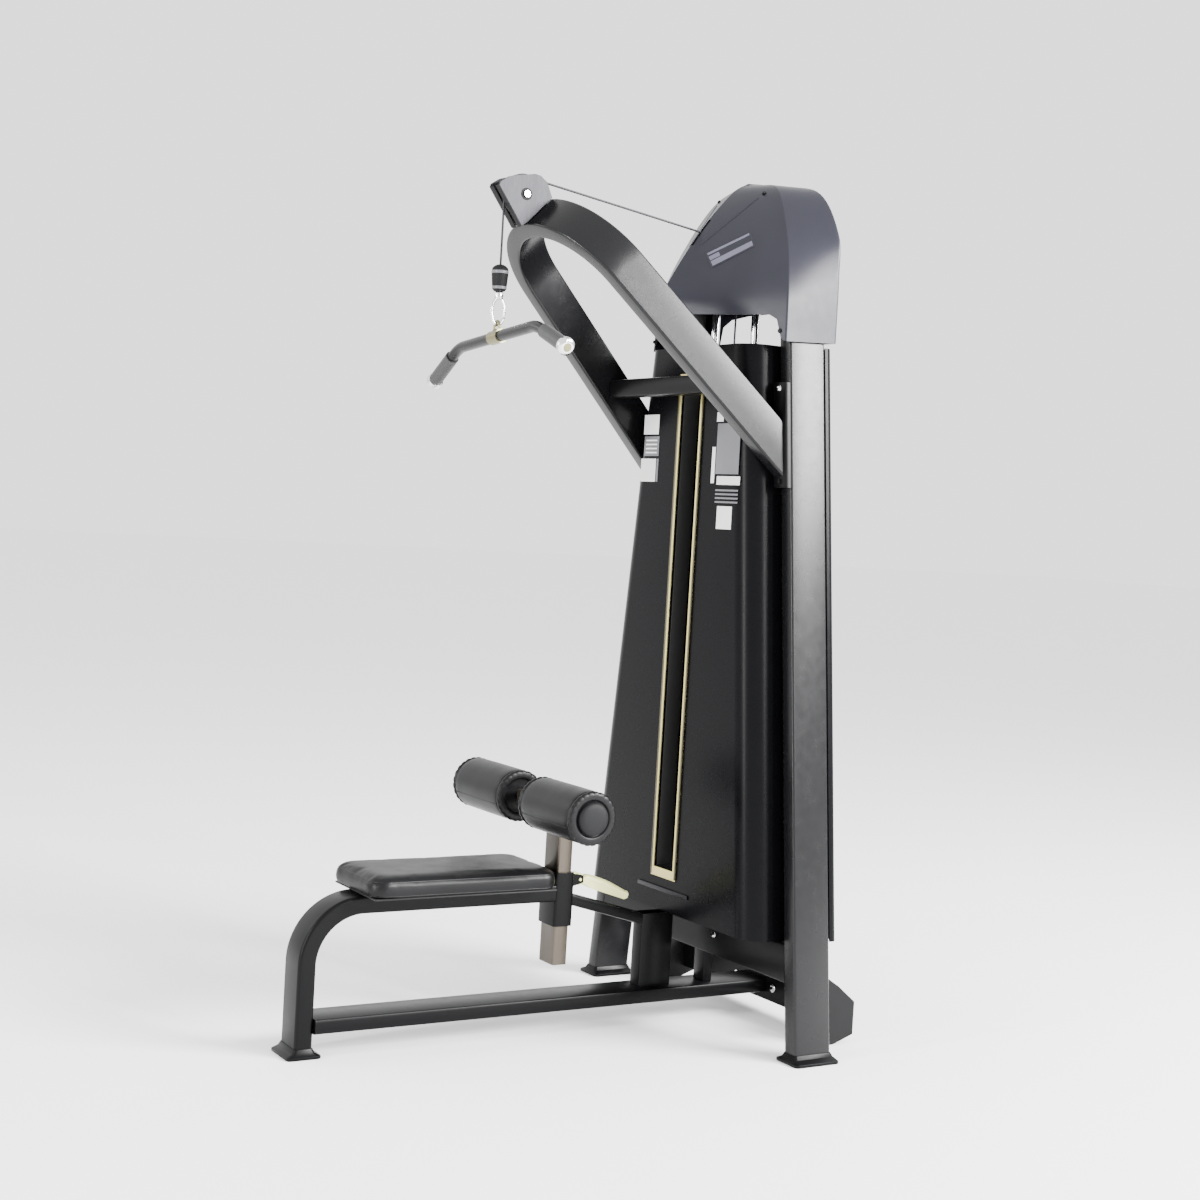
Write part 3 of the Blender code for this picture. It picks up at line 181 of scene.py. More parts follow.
def block(name, low, high, round_off, steps=3, **looks):
    """A box between two corners with rounded edges: a rounded outline, pulled in near its two ends."""
    low, high = np.asarray(low, float), np.asarray(high, float)
    middle, half = (low + high) / 2, (high - low) / 2
    angle = np.linspace(0.0, np.pi / 2, steps + 1)
    pull = round_off * (1 - np.sin(angle))
    rise = half[2] - round_off * (1 - np.cos(angle))
    levels = np.concatenate([-rise, rise[::-1]])
    pulls = np.concatenate([pull, pull[::-1]])
    rings = []
    for z, inset in zip(levels, pulls):
        outline = rounded_outline(half[0] - inset, half[1] - inset, max(round_off * 1.01 - inset, 1e-4), steps)
        rings.append(np.column_stack([outline, np.full(len(outline), z)]) + middle)
    return lofted(name, np.array(rings), **looks)


def along_tube(name, path, radius, count=16, **looks):
    """A round tube along a path: its two cross directions come from the path's own direction at each point."""
    path = np.asarray(path, float)
    heading = np.gradient(path, axis=0)
    heading /= np.linalg.norm(heading, axis=1, keepdims=True)
    guide = np.array((1.0, 0.0, 0.0)) if abs(heading[0, 0]) < 0.7 else np.array((0.0, 1.0, 0.0))
    across = guide - heading * (heading @ guide)[:, None]
    across /= np.linalg.norm(across, axis=1, keepdims=True)
    angle = np.linspace(0.0, 2 * np.pi, count, endpoint=False)
    section = radius * np.stack([np.cos(angle), np.sin(angle)], axis=1)
    return swept(name, path, section, across, np.cross(heading, across), **looks)


def in_place(points):
    """Points on the drawing moved to where the centred machine stands."""
    return np.asarray(points, float) + (0.0, SHIFT, 0.0)


def cut_away(obj, cutter):
    """Removes a closed cutter from a mesh with a Boolean, then applies it and deletes the cutter."""
    step = obj.modifiers.new("cut", "BOOLEAN")
    step.operation, step.solver, step.object = "DIFFERENCE", "EXACT", cutter
    graph = bpy.context.evaluated_depsgraph_get()
    result = bpy.data.meshes.new_from_object(obj.evaluated_get(graph))
    obj.modifiers.clear()
    obj.data = result
    bpy.data.objects.remove(cutter)
    obj.data.set_sharp_from_angle(angle=math.radians(40))


print("mesh helpers ready")

# %% [markdown]
# ## Finishes
# Powder coat, satin metal, moulded plastic and vinyl differ mostly in how rough they are and in how fine
# their bumps are. Each finish is a Principled shader with its single numbers on its own sockets, and noise on
# Object coordinates that varies colour, roughness and bump, so the detail stays put when a piece moves.


# %% Shader helpers
def new_finish(name, colour, roughness, metallic=0.0, specular=0.5, coat=0.0, sheen=0.0):
    """An empty Principled material with its even values set, and its Object coordinates ready."""
    finish = bpy.data.materials.new(name)
    finish.use_nodes = True
    shader = finish.node_tree.nodes["Principled BSDF"]
    shader.inputs["Base Color"].default_value = (*colour, 1.0)
    shader.inputs["Roughness"].default_value = roughness
    shader.inputs["Metallic"].default_value = metallic
    shader.inputs["Specular IOR Level"].default_value = specular
    shader.inputs["Coat Weight"].default_value = coat
    shader.inputs["Coat Roughness"].default_value = 0.2
    shader.inputs["Sheen Weight"].default_value = sheen
    return finish, finish.node_tree, shader


def node_of(tree, kind, **values):
    """A shader node with its inputs or settings given by name."""
    made = tree.nodes.new(kind)
    for key, value in values.items():
        if key in made.inputs:
            made.inputs[key].default_value = value
        else:
            setattr(made, key, value)
    return made


def mapped(tree, scale=(1.0, 1.0, 1.0)):
    """Object coordinates, stretched by a Mapping node."""
    place = tree.nodes.new("ShaderNodeTexCoord")
    mapping = node_of(tree, "ShaderNodeMapping", Scale=scale)
    tree.links.new(place.outputs["Object"], mapping.inputs["Vector"])
    return mapping.outputs["Vector"]


def noise(tree, vector, scale, detail=3.0):
    """The value of a noise texture."""
    made = node_of(tree, "ShaderNodeTexNoise", Scale=scale, Detail=detail)
    tree.links.new(vector, made.inputs["Vector"])
    return made.outputs["Fac"]


def ranged(tree, value, low, high, start=0.3, end=0.7):
    """A value taken from one range to another."""
    made = node_of(tree, "ShaderNodeMapRange")
    for key, number in (("From Min", start), ("From Max", end), ("To Min", low), ("To Max", high)):
        made.inputs[key].default_value = number
    tree.links.new(value, made.inputs["Value"])
    return made.outputs["Result"]


def tint(tree, shader, value, dark, light):
    """Base colour mixed from dark to light by a value."""
    ramp = tree.nodes.new("ShaderNodeValToRGB")
    ramp.color_ramp.elements[0].color = (*dark, 1.0)
    ramp.color_ramp.elements[1].color = (*light, 1.0)
    ramp.color_ramp.elements[0].position, ramp.color_ramp.elements[1].position = 0.3, 0.7
    tree.links.new(value, ramp.inputs["Fac"])
    tree.links.new(ramp.outputs["Color"], shader.inputs["Base Color"])


def bumped(tree, shader, value, depth, strength=1.0):
    """Bump from a value, with its depth in metres."""
    bump = node_of(tree, "ShaderNodeBump", Strength=strength, Distance=depth)
    tree.links.new(value, bump.inputs["Height"])
    tree.links.new(bump.outputs["Normal"], shader.inputs["Normal"])


def scaled(colour, factor):
    """A colour made darker or lighter."""
    return tuple(channel * factor for channel in colour)


# %% Painted and moulded finishes
def coated(name, colour, roughness, spread=0.02, grain=1400.0, depth=0.00005, stretch=(1.0, 1.0, 1.0), **even):
    """Paint or plastic: broad noise shifts colour and roughness a little, and fine noise gives its orange peel."""
    finish, tree, shader = new_finish(name, colour, roughness, **even)
    place = mapped(tree, stretch)
    broad = noise(tree, place, 6.0)
    tint(tree, shader, broad, scaled(colour, 0.92), scaled(colour, 1.08))
    shine = ranged(tree, noise(tree, place, 35.0), roughness - spread, roughness + spread)
    tree.links.new(shine, shader.inputs["Roughness"])
    bumped(tree, shader, noise(tree, place, grain, 2.0), depth, 0.6)
    return finish


def vinyl_finish(name, colour, roughness):
    """Grained vinyl: cells of about a millimetre with soft valleys, over a broad change of shine."""
    finish, tree, shader = new_finish(name, colour, roughness, specular=0.16)
    place = mapped(tree)
    cells = node_of(tree, "ShaderNodeTexVoronoi", Scale=850.0, feature="SMOOTH_F1")
    tree.links.new(place, cells.inputs["Vector"])
    tint(tree, shader, noise(tree, place, 9.0), scaled(colour, 0.8), scaled(colour, 1.2))
    shine = ranged(tree, noise(tree, place, 22.0), roughness - 0.03, roughness + 0.03)
    tree.links.new(shine, shader.inputs["Roughness"])
    bumped(tree, shader, cells.outputs["Distance"], 0.00018, 0.7)
    return finish


FINISHES = {
    "frame_black": coated("frame black", (0.0022, 0.0022, 0.0025), 0.31, specular=0.10),
    "upright_grey": coated("upright grey", (0.0036, 0.0036, 0.0042), 0.26, specular=0.26),
    "cover_charcoal": coated("cover charcoal", (0.0020, 0.0020, 0.0026), 0.28, specular=0.07),
    "head_slate": coated("head slate", (0.017, 0.017, 0.024), 0.36, specular=0.22, depth=0.00008, grain=900.0),
    "gold_trim": coated("gold trim", (0.66, 0.58, 0.24), 0.36, metallic=0.8, depth=0.00002),
    "silver": coated("silver", (0.035, 0.035, 0.038), 0.48, metallic=1.0, stretch=(1.0, 6.0, 1.0), depth=0.00002),
    "chrome": coated("chrome", (0.80, 0.80, 0.82), 0.10, spread=0.03, metallic=1.0, depth=0.00001),
    "bronze_tube": coated(
        "bronze tube", (0.085, 0.072, 0.058), 0.36, metallic=0.9, stretch=(8.0, 8.0, 0.4), depth=0.00003
    ),
    "vinyl": vinyl_finish("vinyl", (0.0035, 0.0035, 0.0040), 0.38),
    "yellow": coated("yellow", (0.78, 0.80, 0.36), 0.32, specular=0.5, coat=0.3),
    "cast_iron": coated("cast iron", (0.010, 0.010, 0.011), 0.55, grain=500.0, depth=0.0003),
    "rubber": coated("rubber", (0.0055, 0.0055, 0.0060), 0.60, specular=0.15),
    "pulley_black": coated("pulley black", (0.010, 0.010, 0.011), 0.42, specular=0.35),
    "plywood": coated("painted board", (0.008, 0.008, 0.008), 0.55, specular=0.25, stretch=(1.0, 1.0, 30.0)),
}
EXTRA = {
    "placard_white": coated("placard white", (0.62, 0.62, 0.61), 0.35, depth=0.00001),
    "placard_grey": coated("placard grey", (0.10, 0.10, 0.11), 0.35, depth=0.00001),
    "badge_pale": coated("badge pale", (0.10, 0.10, 0.14), 0.35, depth=0.00001),
    "olive_brass": coated("olive brass", (0.22, 0.20, 0.11), 0.34, metallic=0.9, depth=0.00003),
    "trim_border": coated("trim border", (0.050, 0.042, 0.012), 0.42, depth=0.00003),
    "slot_dark": coated("slot dark", (0.004, 0.004, 0.004), 0.70, depth=0.00003),
    "grip": coated("grip", (0.022, 0.022, 0.023), 0.50, grain=700.0, depth=0.0002),
}
for node, obj in frame["nodes"].items():
    obj.data.materials.clear()
    obj.data.materials.append(FINISHES[NODE_SLOT[node]])
print("finishes", len(FINISHES) + len(EXTRA))


# %% Placing a finished piece
def place(piece, body, slot, finish=None, stands_for=()):
    """Gives a piece its finish, by default the one for its record slot, and its body, and hides the nodes that it
    stands for.
    """
    piece.data.materials.clear()
    piece.data.materials.append(finish or FINISHES[slot])
    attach(piece, body)
    if stands_for:
        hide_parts(*stands_for)
    return piece


def stand_in(piece, node):
    """A finer surface for one node, on the same body and with the same finish."""
    return place(piece, NODE_BODY[node], NODE_SLOT[node], stands_for=(node,))


# %% [markdown]
# ## Softened edges on the plain pieces
# A welded or pressed piece never has a knife edge. Each plain node is copied, its triangles are merged and its
# flat faces rejoined, then a narrow Bevel rounds the edges so that they catch the light.


# %% Softened copies
def softened(node, width, angle=32.0):
    """A merged copy of a node with its flat faces rejoined and every edge sharper than an angle rounded off."""
    shape = bmesh.new()
    shape.from_mesh(frame["nodes"][node].data)
    bmesh.ops.remove_doubles(shape, verts=shape.verts, dist=2e-6)
    bmesh.ops.dissolve_limit(
        shape, angle_limit=math.radians(0.8), use_dissolve_boundaries=False, verts=shape.verts, edges=shape.edges
    )
    mesh = bpy.data.meshes.new(node + "_soft")
    shape.to_mesh(mesh)
    shape.free()
    mesh.polygons.foreach_set("use_smooth", [True] * len(mesh.polygons))
    mesh.set_sharp_from_angle(angle=math.radians(angle))
    piece = bpy.data.objects.new(node + "_soft", mesh)
    bpy.context.scene.collection.objects.link(piece)
    if width:
        bevel = piece.modifiers.new("edge", "BEVEL")
        bevel.width, bevel.segments, bevel.limit_method = width, 2, "ANGLE"
        bevel.angle_limit, bevel.harden_normals = math.radians(angle), True
        bevel.use_clamp_overlap = True
    return stand_in(piece, node)


SOFT_EDGES = {
    "upright_left": 0.0, "upright_right": 0.0, "foot_left": 0.0008, "foot_right": 0.0008, "front_foot": 0.0008,
    "base_beam": 0.0, "rear_beam": 0.003, "rear_foot_left": 0.0025, "rear_foot_right": 0.0025,
    "central_post": 0.0, "link_tube": 0.0, "post_sleeve": 0.0008, "stack_base": 0.0008, "top_crossmember": 0.0,
    "arm_flange_left": 0.0008, "arm_flange_right": 0.0008, "arm_crossbar": 0.0,
    "pulley_plate_left": 0.0006, "pulley_plate_right": 0.0006, "head_bracket": 0.0005, "rear_cover": 0.0008,
    "slot_trim": 0.0008, "cover_strip": 0.0008, "seat_board": 0.0015, "pad_post": 0.0, "adjuster_lever": 0.0015,
    "stack_head": 0.0015, "selector_rod": 0.0, "locking_pin": 0.0005,
    "guide_rod_left": 0.0, "guide_rod_right": 0.0, "roller_shaft": 0.0005, "bumper_left": 0.001, "bumper_right": 0.001,
    "front_pulley_axle": 0.0005, "head_pulley_axle": 0.0005, "selector_pin": 0.0006,
}
for node, width in SOFT_EDGES.items():
    softened(node, width)
print("softened", len(SOFT_EDGES))

# %% [markdown]
# ## The pulley arm
# One flat tube is rolled into a loop: two straight legs and a round end. Its path and its outward direction are
# known at every step, so a rounded section is simply carried round it. The legs end flat against their flanges.

# %% Pulley arm
ARM_PITCH = math.radians(43.9)
ARM_ROOT = np.array((-0.0803, 1.6625))  # Y and Z on the drawing
ARM_ROOT_X, ARM_APEX_ALONG, ARM_APEX_RADIUS = 0.3270, 0.610, 0.232
ARM_HALF_THICK, ARM_HALF_WIDE = 0.025, 0.0555
FIT_GAP = 0.0003


def on_arm(across, along, out):
    """A point of the loop's plane: across is X, along runs up the arm, and out is square to the loop."""
    y = ARM_ROOT[0] - along * math.cos(ARM_PITCH) + out * math.sin(ARM_PITCH)
    z = ARM_ROOT[1] + along * math.sin(ARM_PITCH) + out * math.cos(ARM_PITCH)
    return in_place(np.stack(np.broadcast_arrays(across, y, z), axis=-1))


def arm_line(steps):
    """Leg, round end and leg: place and outward direction in the loop's plane, each an array of (across, along)."""
    reach = math.hypot(ARM_ROOT_X, ARM_APEX_ALONG)
    start = math.atan2(ARM_APEX_ALONG, -ARM_ROOT_X) - math.asin(ARM_APEX_RADIUS / reach) - math.pi / 2
    angle = np.linspace(start, math.pi - start, steps)
    normal = np.stack([np.cos(angle), np.sin(angle)], axis=1)
    bend = normal * ARM_APEX_RADIUS + (0.0, ARM_APEX_ALONG)
    middle = np.vstack([[(ARM_ROOT_X, 0.0)], bend, [(-ARM_ROOT_X, 0.0)]])
    return middle, np.vstack([normal[:1], normal, normal[-1:]])


middle, normal = arm_line(72)
section = rounded_outline(ARM_HALF_THICK, ARM_HALF_WIDE, 0.007)
across = middle[:, None, 0] + section[None, :, 0] * normal[:, None, 0]
along = middle[:, None, 1] + section[None, :, 0] * normal[:, None, 1]
for end in (0, -1):
    slide = (section[:, 1] * math.sin(ARM_PITCH) + FIT_GAP) / math.cos(ARM_PITCH) - along[end]
    across[end] += slide * -np.sign(middle[end, 0]) * abs(normal[end, 1] / normal[end, 0])
    along[end] += slide
arm = lofted("pulley_arm_tube", on_arm(across, along, section[None, :, 1]))
stand_in(arm, "pulley_arm")
print("arm size", [round(v, 3) for v in arm.dimensions])

# %% [markdown]
# ## The seat's bent tube
# The front post and the seat's support are one flat tube with a single right-angle bend. The path is a short
# straight, a quarter circle and a long straight, with more steps in the bend than anywhere else.

# %% Bent seat tube
SEAT_POST_Y, SEAT_TUBE_Z, SEAT_BEND = -1.273, 0.395, 0.155
turn = np.linspace(0.0, np.pi / 2, 32)
frame_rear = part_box("seat_frame")[1].y - SHIFT
path_y = np.concatenate([[SEAT_POST_Y], SEAT_POST_Y + SEAT_BEND * (1 - np.cos(turn)), [frame_rear]])
path_z = np.concatenate([[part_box("seat_frame")[0].z], SEAT_TUBE_Z - SEAT_BEND * (1 - np.sin(turn)), [SEAT_TUBE_Z]])
heading = np.concatenate([[np.pi / 2], np.pi / 2 - turn, [0.0]])
path = in_place(np.stack([np.zeros_like(path_y), path_y, path_z], axis=1))
outward = np.stack([np.zeros_like(heading), -np.sin(heading), np.cos(heading)], axis=1)
sideways = np.tile((1.0, 0.0, 0.0), (len(path), 1))
tube = swept("seat_frame_tube", path, rounded_outline(0.050, 0.025, 0.010), sideways, outward)
stand_in(tube, "seat_frame")
print("seat tube steps", len(path))

# %% [markdown]
# ## The front cover
# A sheet-metal shroud with a rounded corner down each side and lips that turn out to the uprights. Its plan is
# the same at every height apart from its width, which narrows upwards. A tall slot is cut for the selector pin.

# %% Front cover
COVER_Y, COVER_WALL, COVER_CORNER, LIP_Y = -0.155, 0.004, 0.070, -0.030
COVER_FLOOR_X, COVER_LEAN = 0.470, 0.107
UPRIGHT_FLOOR_X, UPRIGHT_LEAN, UPRIGHT_HALF_X = 0.526, 0.1149, 0.025
SLOT_HALF_X, SLOT_LOW, SLOT_HIGH = 0.050, 0.438, 1.860
cover_low, cover_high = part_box("front_cover")[0].z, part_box("front_cover")[1].z


def cover_plan(z, inset, steps=20):
    """The shroud's plan at a height: lip, flank, quarter-circle corner and front, mirrored to the other side."""
    half, radius, front = COVER_FLOOR_X - COVER_LEAN * z - inset, COVER_CORNER - inset, COVER_Y + inset
    lip = LIP_Y - COVER_WALL + inset
    angle = np.linspace(0.0, np.pi / 2, steps)
    corner = np.stack([half - radius + radius * np.cos(angle), front + radius - radius * np.sin(angle)], axis=1)
    inner_face = UPRIGHT_FLOOR_X - UPRIGHT_LEAN * z - UPRIGHT_HALF_X - FIT_GAP
    side = np.vstack([[(inner_face, lip), (half, lip)], corner])
    return np.vstack([side, side[::-1] * (-1.0, 1.0)])


rings = []
for z in np.linspace(cover_low, cover_high, 12):
    plan = np.vstack([cover_plan(z, 0.0), cover_plan(z, COVER_WALL)[::-1]])
    rings.append(np.column_stack([plan, np.full(len(plan), z)]))
cover = lofted("front_cover_shell", in_place(rings))
cutter_low = in_place((-SLOT_HALF_X, COVER_Y - 0.02, SLOT_LOW))
cutter_high = in_place((SLOT_HALF_X, COVER_Y + 0.02, SLOT_HIGH))
slot_cutter = block("slot_cutter", cutter_low, cutter_high, 0.002)
cut_away(cover, slot_cutter)
stand_in(cover, "front_cover")
print("cover", [round(v, 3) for v in cover.dimensions])

# %% [markdown]
# ## The slot's gold border
# A bright strip frames the slot, with a darker outer border beside it. Both are thin, square-edged strips laid on
# the cover, a little proud of it, so they are plain rounded blocks.

# %% Slot border
TRIM_FACE = COVER_Y - 0.0045
trim_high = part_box("slot_trim")[1].z
trim_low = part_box("slot_trim")[0].z
for side in (-1, 1):
    inner, outer = side * 0.0585, side * 0.0645
    low = (min(inner, outer), TRIM_FACE - 0.0005, trim_low + 0.004)
    high = (max(inner, outer), TRIM_FACE + 0.002, trim_high - 0.002)
    border = block(f"trim_border_{'left' if side < 0 else 'right'}", in_place(low), in_place(high), 0.0006)
    place(border, "frame", "gold_trim", EXTRA["trim_border"])
for name, x_low in (("slot_liner", -0.0486), ("slot_liner_right", 0.0466)):
    low = in_place((x_low, -0.150, SLOT_LOW + 0.002))
    high = in_place((x_low + 0.002, -0.100, SLOT_HIGH - 0.002))
    place(block(name, low, high, 0.0005), "frame", "cover_charcoal", EXTRA["slot_dark"])

# %% [markdown]
# ## Placards
# Two instruction placards flank the top of the slot. They hold plain white and grey panels with a few bars in
# place of pictures and words, each a thin tile on the cover's face.

# %% Placards
TILES = (
    ("left_head", (-0.246, -0.166), (1.700, 1.758), "placard_white"),
    ("left_mid", (-0.240, -0.160), (1.636, 1.694), "placard_grey"),
    ("left_foot", (-0.252, -0.172), (1.560, 1.628), "placard_white"),
    ("left_edge", (-0.168, -0.158), (1.560, 1.628), "placard_grey"),
    ("right_corner", (0.134, 0.166), (1.733, 1.760), "placard_white"),
    ("right_head", (0.140, 0.252), (1.586, 1.728), "placard_grey"),
    ("right_edge", (0.120, 0.136), (1.560, 1.662), "placard_white"),
    ("right_bar", (0.150, 0.262), (1.556, 1.580), "placard_white"),
    ("right_foot", (0.160, 0.232), (1.432, 1.496), "placard_white"),
)


def cover_tile(name, across, upward, finish, proud=0.0012, sunk=0.0002, round_off=0.0004):
    """A thin rounded tile on the cover's face, between two x places and two z places."""
    low = in_place((across[0], COVER_Y - proud, upward[0]))
    high = in_place((across[1], COVER_Y - sunk, upward[1]))
    place(block(f"placard_{name}", low, high, round_off), "frame", "cover_charcoal", EXTRA[finish])


for tile in TILES:
    cover_tile(*tile)
for step in range(4):
    z = 1.505 + 0.011 * step
    cover_tile(f"line_{step}", (0.146, 0.256), (z, z + 0.005), "placard_grey")
    z = 1.644 + 0.012 * step
    cover_tile(f"rule_{step}", (-0.230, -0.170), (z, z + 0.004), "placard_white", 0.0018, 0.0012, 0.0002)
print("placard tiles", len(TILES) + 8)

# %% [markdown]
# ## The head cover
# Each half is a thin moulded shell. Four lines run up it from rim to crest: the ridge in the middle, the crease
# where front meets side, the rear corner and the middle of the back. Points between the lines share their paths,
# and each column starts at its own rim height, which makes the arched openings.

# %% Head cover lines
HEAD_LINES = {
    "ridge": (
        (0.0, -0.282, 2.030), (0.0, -0.272, 2.100), (0.0, -0.163, 2.277), (0.0, -0.060, 2.400), (0.0, -0.005, 2.436),
    ),
    "crease": (
        (0.337, -0.082, 1.957), (0.325, -0.077, 2.100), (0.272, -0.050, 2.240), (0.150, -0.005, 2.400),
        (0.0, 0.040, 2.440),
    ),
    "corner": (
        (0.337, 0.090, 1.957), (0.334, 0.090, 2.150), (0.322, 0.089, 2.270), (0.215, 0.088, 2.400),
        (0.0, 0.086, 2.436),
    ),
    "back": (
        (0.0, 0.102, 1.957), (0.0, 0.102, 2.150), (0.0, 0.102, 2.270), (0.0, 0.100, 2.390), (0.0, 0.094, 2.430),
    ),
}
HEAD_ORDER = ("ridge", "crease", "corner", "back")
HEAD_COLUMNS = (  # place between the lines (0 ridge, 1 crease, 2 corner, 3 back) and rim height over the lowest rim
    (0.0, 0.073), (0.30, 0.073), (0.60, 0.073), (0.86, 0.073), (0.92, 0.060), (0.955, 0.010), (0.985, 0.0),
    (1.03, 0.0), (1.50, 0.004), (1.95, 0.008), (2.06, 0.009), (2.28, 0.010), (2.33, 0.085), (2.45, 0.105),
    (2.70, 0.112), (3.0, 0.112),
)
HEAD_WALL = 0.004


def smooth_line(points, count=60):
    """A Catmull-Rom curve through given points, sampled evenly in its own parameter."""
    points = np.asarray(points, float)
    held = np.vstack([2 * points[0] - points[1], points, 2 * points[-1] - points[-2]])
    t = np.linspace(0.0, len(points) - 1, count + 1)
    k = np.minimum(t.astype(int), len(points) - 2)
    t = (t - k)[:, None]
    a, b, c, d = (held[k + i] for i in range(4))
    return 0.5 * (2 * b + (c - a) * t + (2 * a - 5 * b + 4 * c - d) * t**2 + (3 * b - a - 3 * c + d) * t**3)


def rising(line, low, count):
    """Evenly spaced points on the part of a rising line above a height."""
    heights = line[:, 2]
    above = heights > low
    first = int(np.argmax(above))
    share = (low - heights[first - 1]) / (heights[first] - heights[first - 1]) if first else 0.0
    start = line[first - 1] + (line[first] - line[first - 1]) * share if first else line[0]
    kept = np.vstack([start, line[first:]])
    distance = np.concatenate([[0.0], np.cumsum(np.linalg.norm(np.diff(kept, axis=0), axis=1))])
    wanted = np.linspace(0.0, distance[-1], count + 1)
    return np.stack([np.interp(wanted, distance, kept[:, axis]) for axis in range(3)], axis=1)


def head_surface(rows, between):
    """The right half's outer skin: rows from rim to crest, columns from ridge to back."""
    lines = [smooth_line(HEAD_LINES[name]) for name in HEAD_ORDER]
    known = np.array(HEAD_COLUMNS)
    stops = np.arange(len(known))
    fine = np.linspace(0, len(known) - 1, (len(known) - 1) * between + 1)
    places, rises = np.interp(fine, stops, known[:, 0]), np.interp(fine, stops, known[:, 1])
    columns = []
    for where, rise in zip(places, rises):
        k = min(int(where), 2)
        blended = lines[k] + (lines[k + 1] - lines[k]) * (where - k)
        columns.append(rising(blended, HEAD_LINES["crease"][0][2] + rise, rows))
    return np.stack(columns, axis=1)


# %% Head cover halves
outer = head_surface(36, 4)
away = outer - np.array((0.0, 0.0, 2.16))
inner = outer - HEAD_WALL * away / (np.abs(away) + np.array((0.012, 0.020, 0.012)))
inner[0, :, 2] = outer[0, :, 2]
rows, columns = outer.shape[:2]
for side, name in ((-1, "left"), (1, "right")):
    skins = np.stack([outer, inner])
    skins[..., 0] = side * np.maximum(skins[..., 0], FIT_GAP)
    faces = grid_faces(rows, columns) + grid_faces(rows, columns, start=rows * columns)
    rim = [j for j in range(columns)] + [i * columns + columns - 1 for i in range(1, rows)]
    rim += [(rows - 1) * columns + j for j in range(columns - 2, -1, -1)]
    rim += [i * columns for i in range(rows - 2, 0, -1)]
    following = rim[1:] + rim[:1]
    faces += [[a, b, b + rows * columns, a + rows * columns] for a, b in zip(rim, following)]
    half = object_from(f"head_cover_{name}_shell", in_place(skins), faces, sharp=34.0)
    notch = block("notch_cutter", in_place((-0.007, -0.30, 2.235)), in_place((0.007, -0.085, 2.315)), 0.001)
    cut_away(half, notch)
    stand_in(half, f"head_cover_{name}")
print("head cover grid", rows, "x", columns)

# %% [markdown]
# ## Wheels, cable and hook
# A pulley is a turned shape: a hub, a thin web and a grooved rim. The cable wraps a quarter of each wheel, so
# its path is an arc, a straight and an arc. The hook is a ring of round wire under a turned neck.

# %% Pulleys
FRONT_PULLEY, HEAD_PULLEY = np.array((-0.748, 2.3015)), np.array((-0.072, 2.2124))  # Y and Z on the drawing
WHEEL_RADIUS, AXLE_BORE = 0.052, 0.0061
WHEEL_PROFILE = (
    (-0.0155, AXLE_BORE), (-0.0155, 0.0150), (-0.0148, 0.0160), (-0.0108, 0.0176), (-0.0105, 0.0190),
    (-0.0105, 0.0400), (-0.0110, 0.0418), (-0.0124, 0.0430), (-0.0125, 0.0555), (-0.0119, 0.0564),
    (-0.0078, 0.0564), (-0.0070, 0.0555),
    (-0.0042, 0.0496), (-0.0026, 0.0487), (0.0, 0.0485),
)
loop_profile = list(WHEEL_PROFILE) + [(-a, r) for a, r in reversed(WHEEL_PROFILE[:-1])]
for node, (y, z) in (("front_pulley", FRONT_PULLEY), ("head_pulley", HEAD_PULLEY)):
    wheel = hollow_turned(f"{node}_wheel", loop_profile, in_place((0.0, y, z)), count=72, sharp=50.0)
    stand_in(wheel, node)

# %% Cable
slope = math.atan2(HEAD_PULLEY[1] - FRONT_PULLEY[1], HEAD_PULLEY[0] - FRONT_PULLEY[0])
first = np.linspace(0.0, math.pi / 2 + slope, 24)
second = np.linspace(math.pi / 2 + slope, math.pi, 24)
arcs = [
    centre + WHEEL_RADIUS * np.stack([np.cos(angle), np.sin(angle)], axis=1)
    for centre, angle in ((HEAD_PULLEY, first), (FRONT_PULLEY, second))
]
straight = np.linspace(arcs[0][-1], arcs[1][0], 12)[1:-1]
line = np.vstack([arcs[0], straight, arcs[1]])
cable = along_tube("cable_run_wire", in_place(np.column_stack([np.zeros(len(line)), line])), 0.003)
stand_in(cable, "cable_run")
print("cable run length", round(float(np.linalg.norm(np.diff(line, axis=0), axis=1).sum()), 3), "m")

# %% [markdown]
# Two runs of the cable change length when the bar comes down: one shortens as the stack rises, and one grows as
# the stopper drops. Each is made here as a straight tube of many rings, at its resting length.

# %% Cable runs that change length
for node, body in (("cable_lift", "lifted_stack"), ("cable_drop", "cable_end")):
    low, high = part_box(node)
    x, y = (low.x + high.x) / 2, (low.y + high.y) / 2
    heights = np.linspace(low.z, high.z, 80)
    run = along_tube(f"{node}_wire", np.column_stack([np.full(80, x), np.full(80, y), heights]), 0.003)
    run.data.materials.clear()
    run.data.materials.append(FINISHES["silver"])
    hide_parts(node)
    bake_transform(run)
    print(node, "length", round(high.z - low.z, 3), "m")

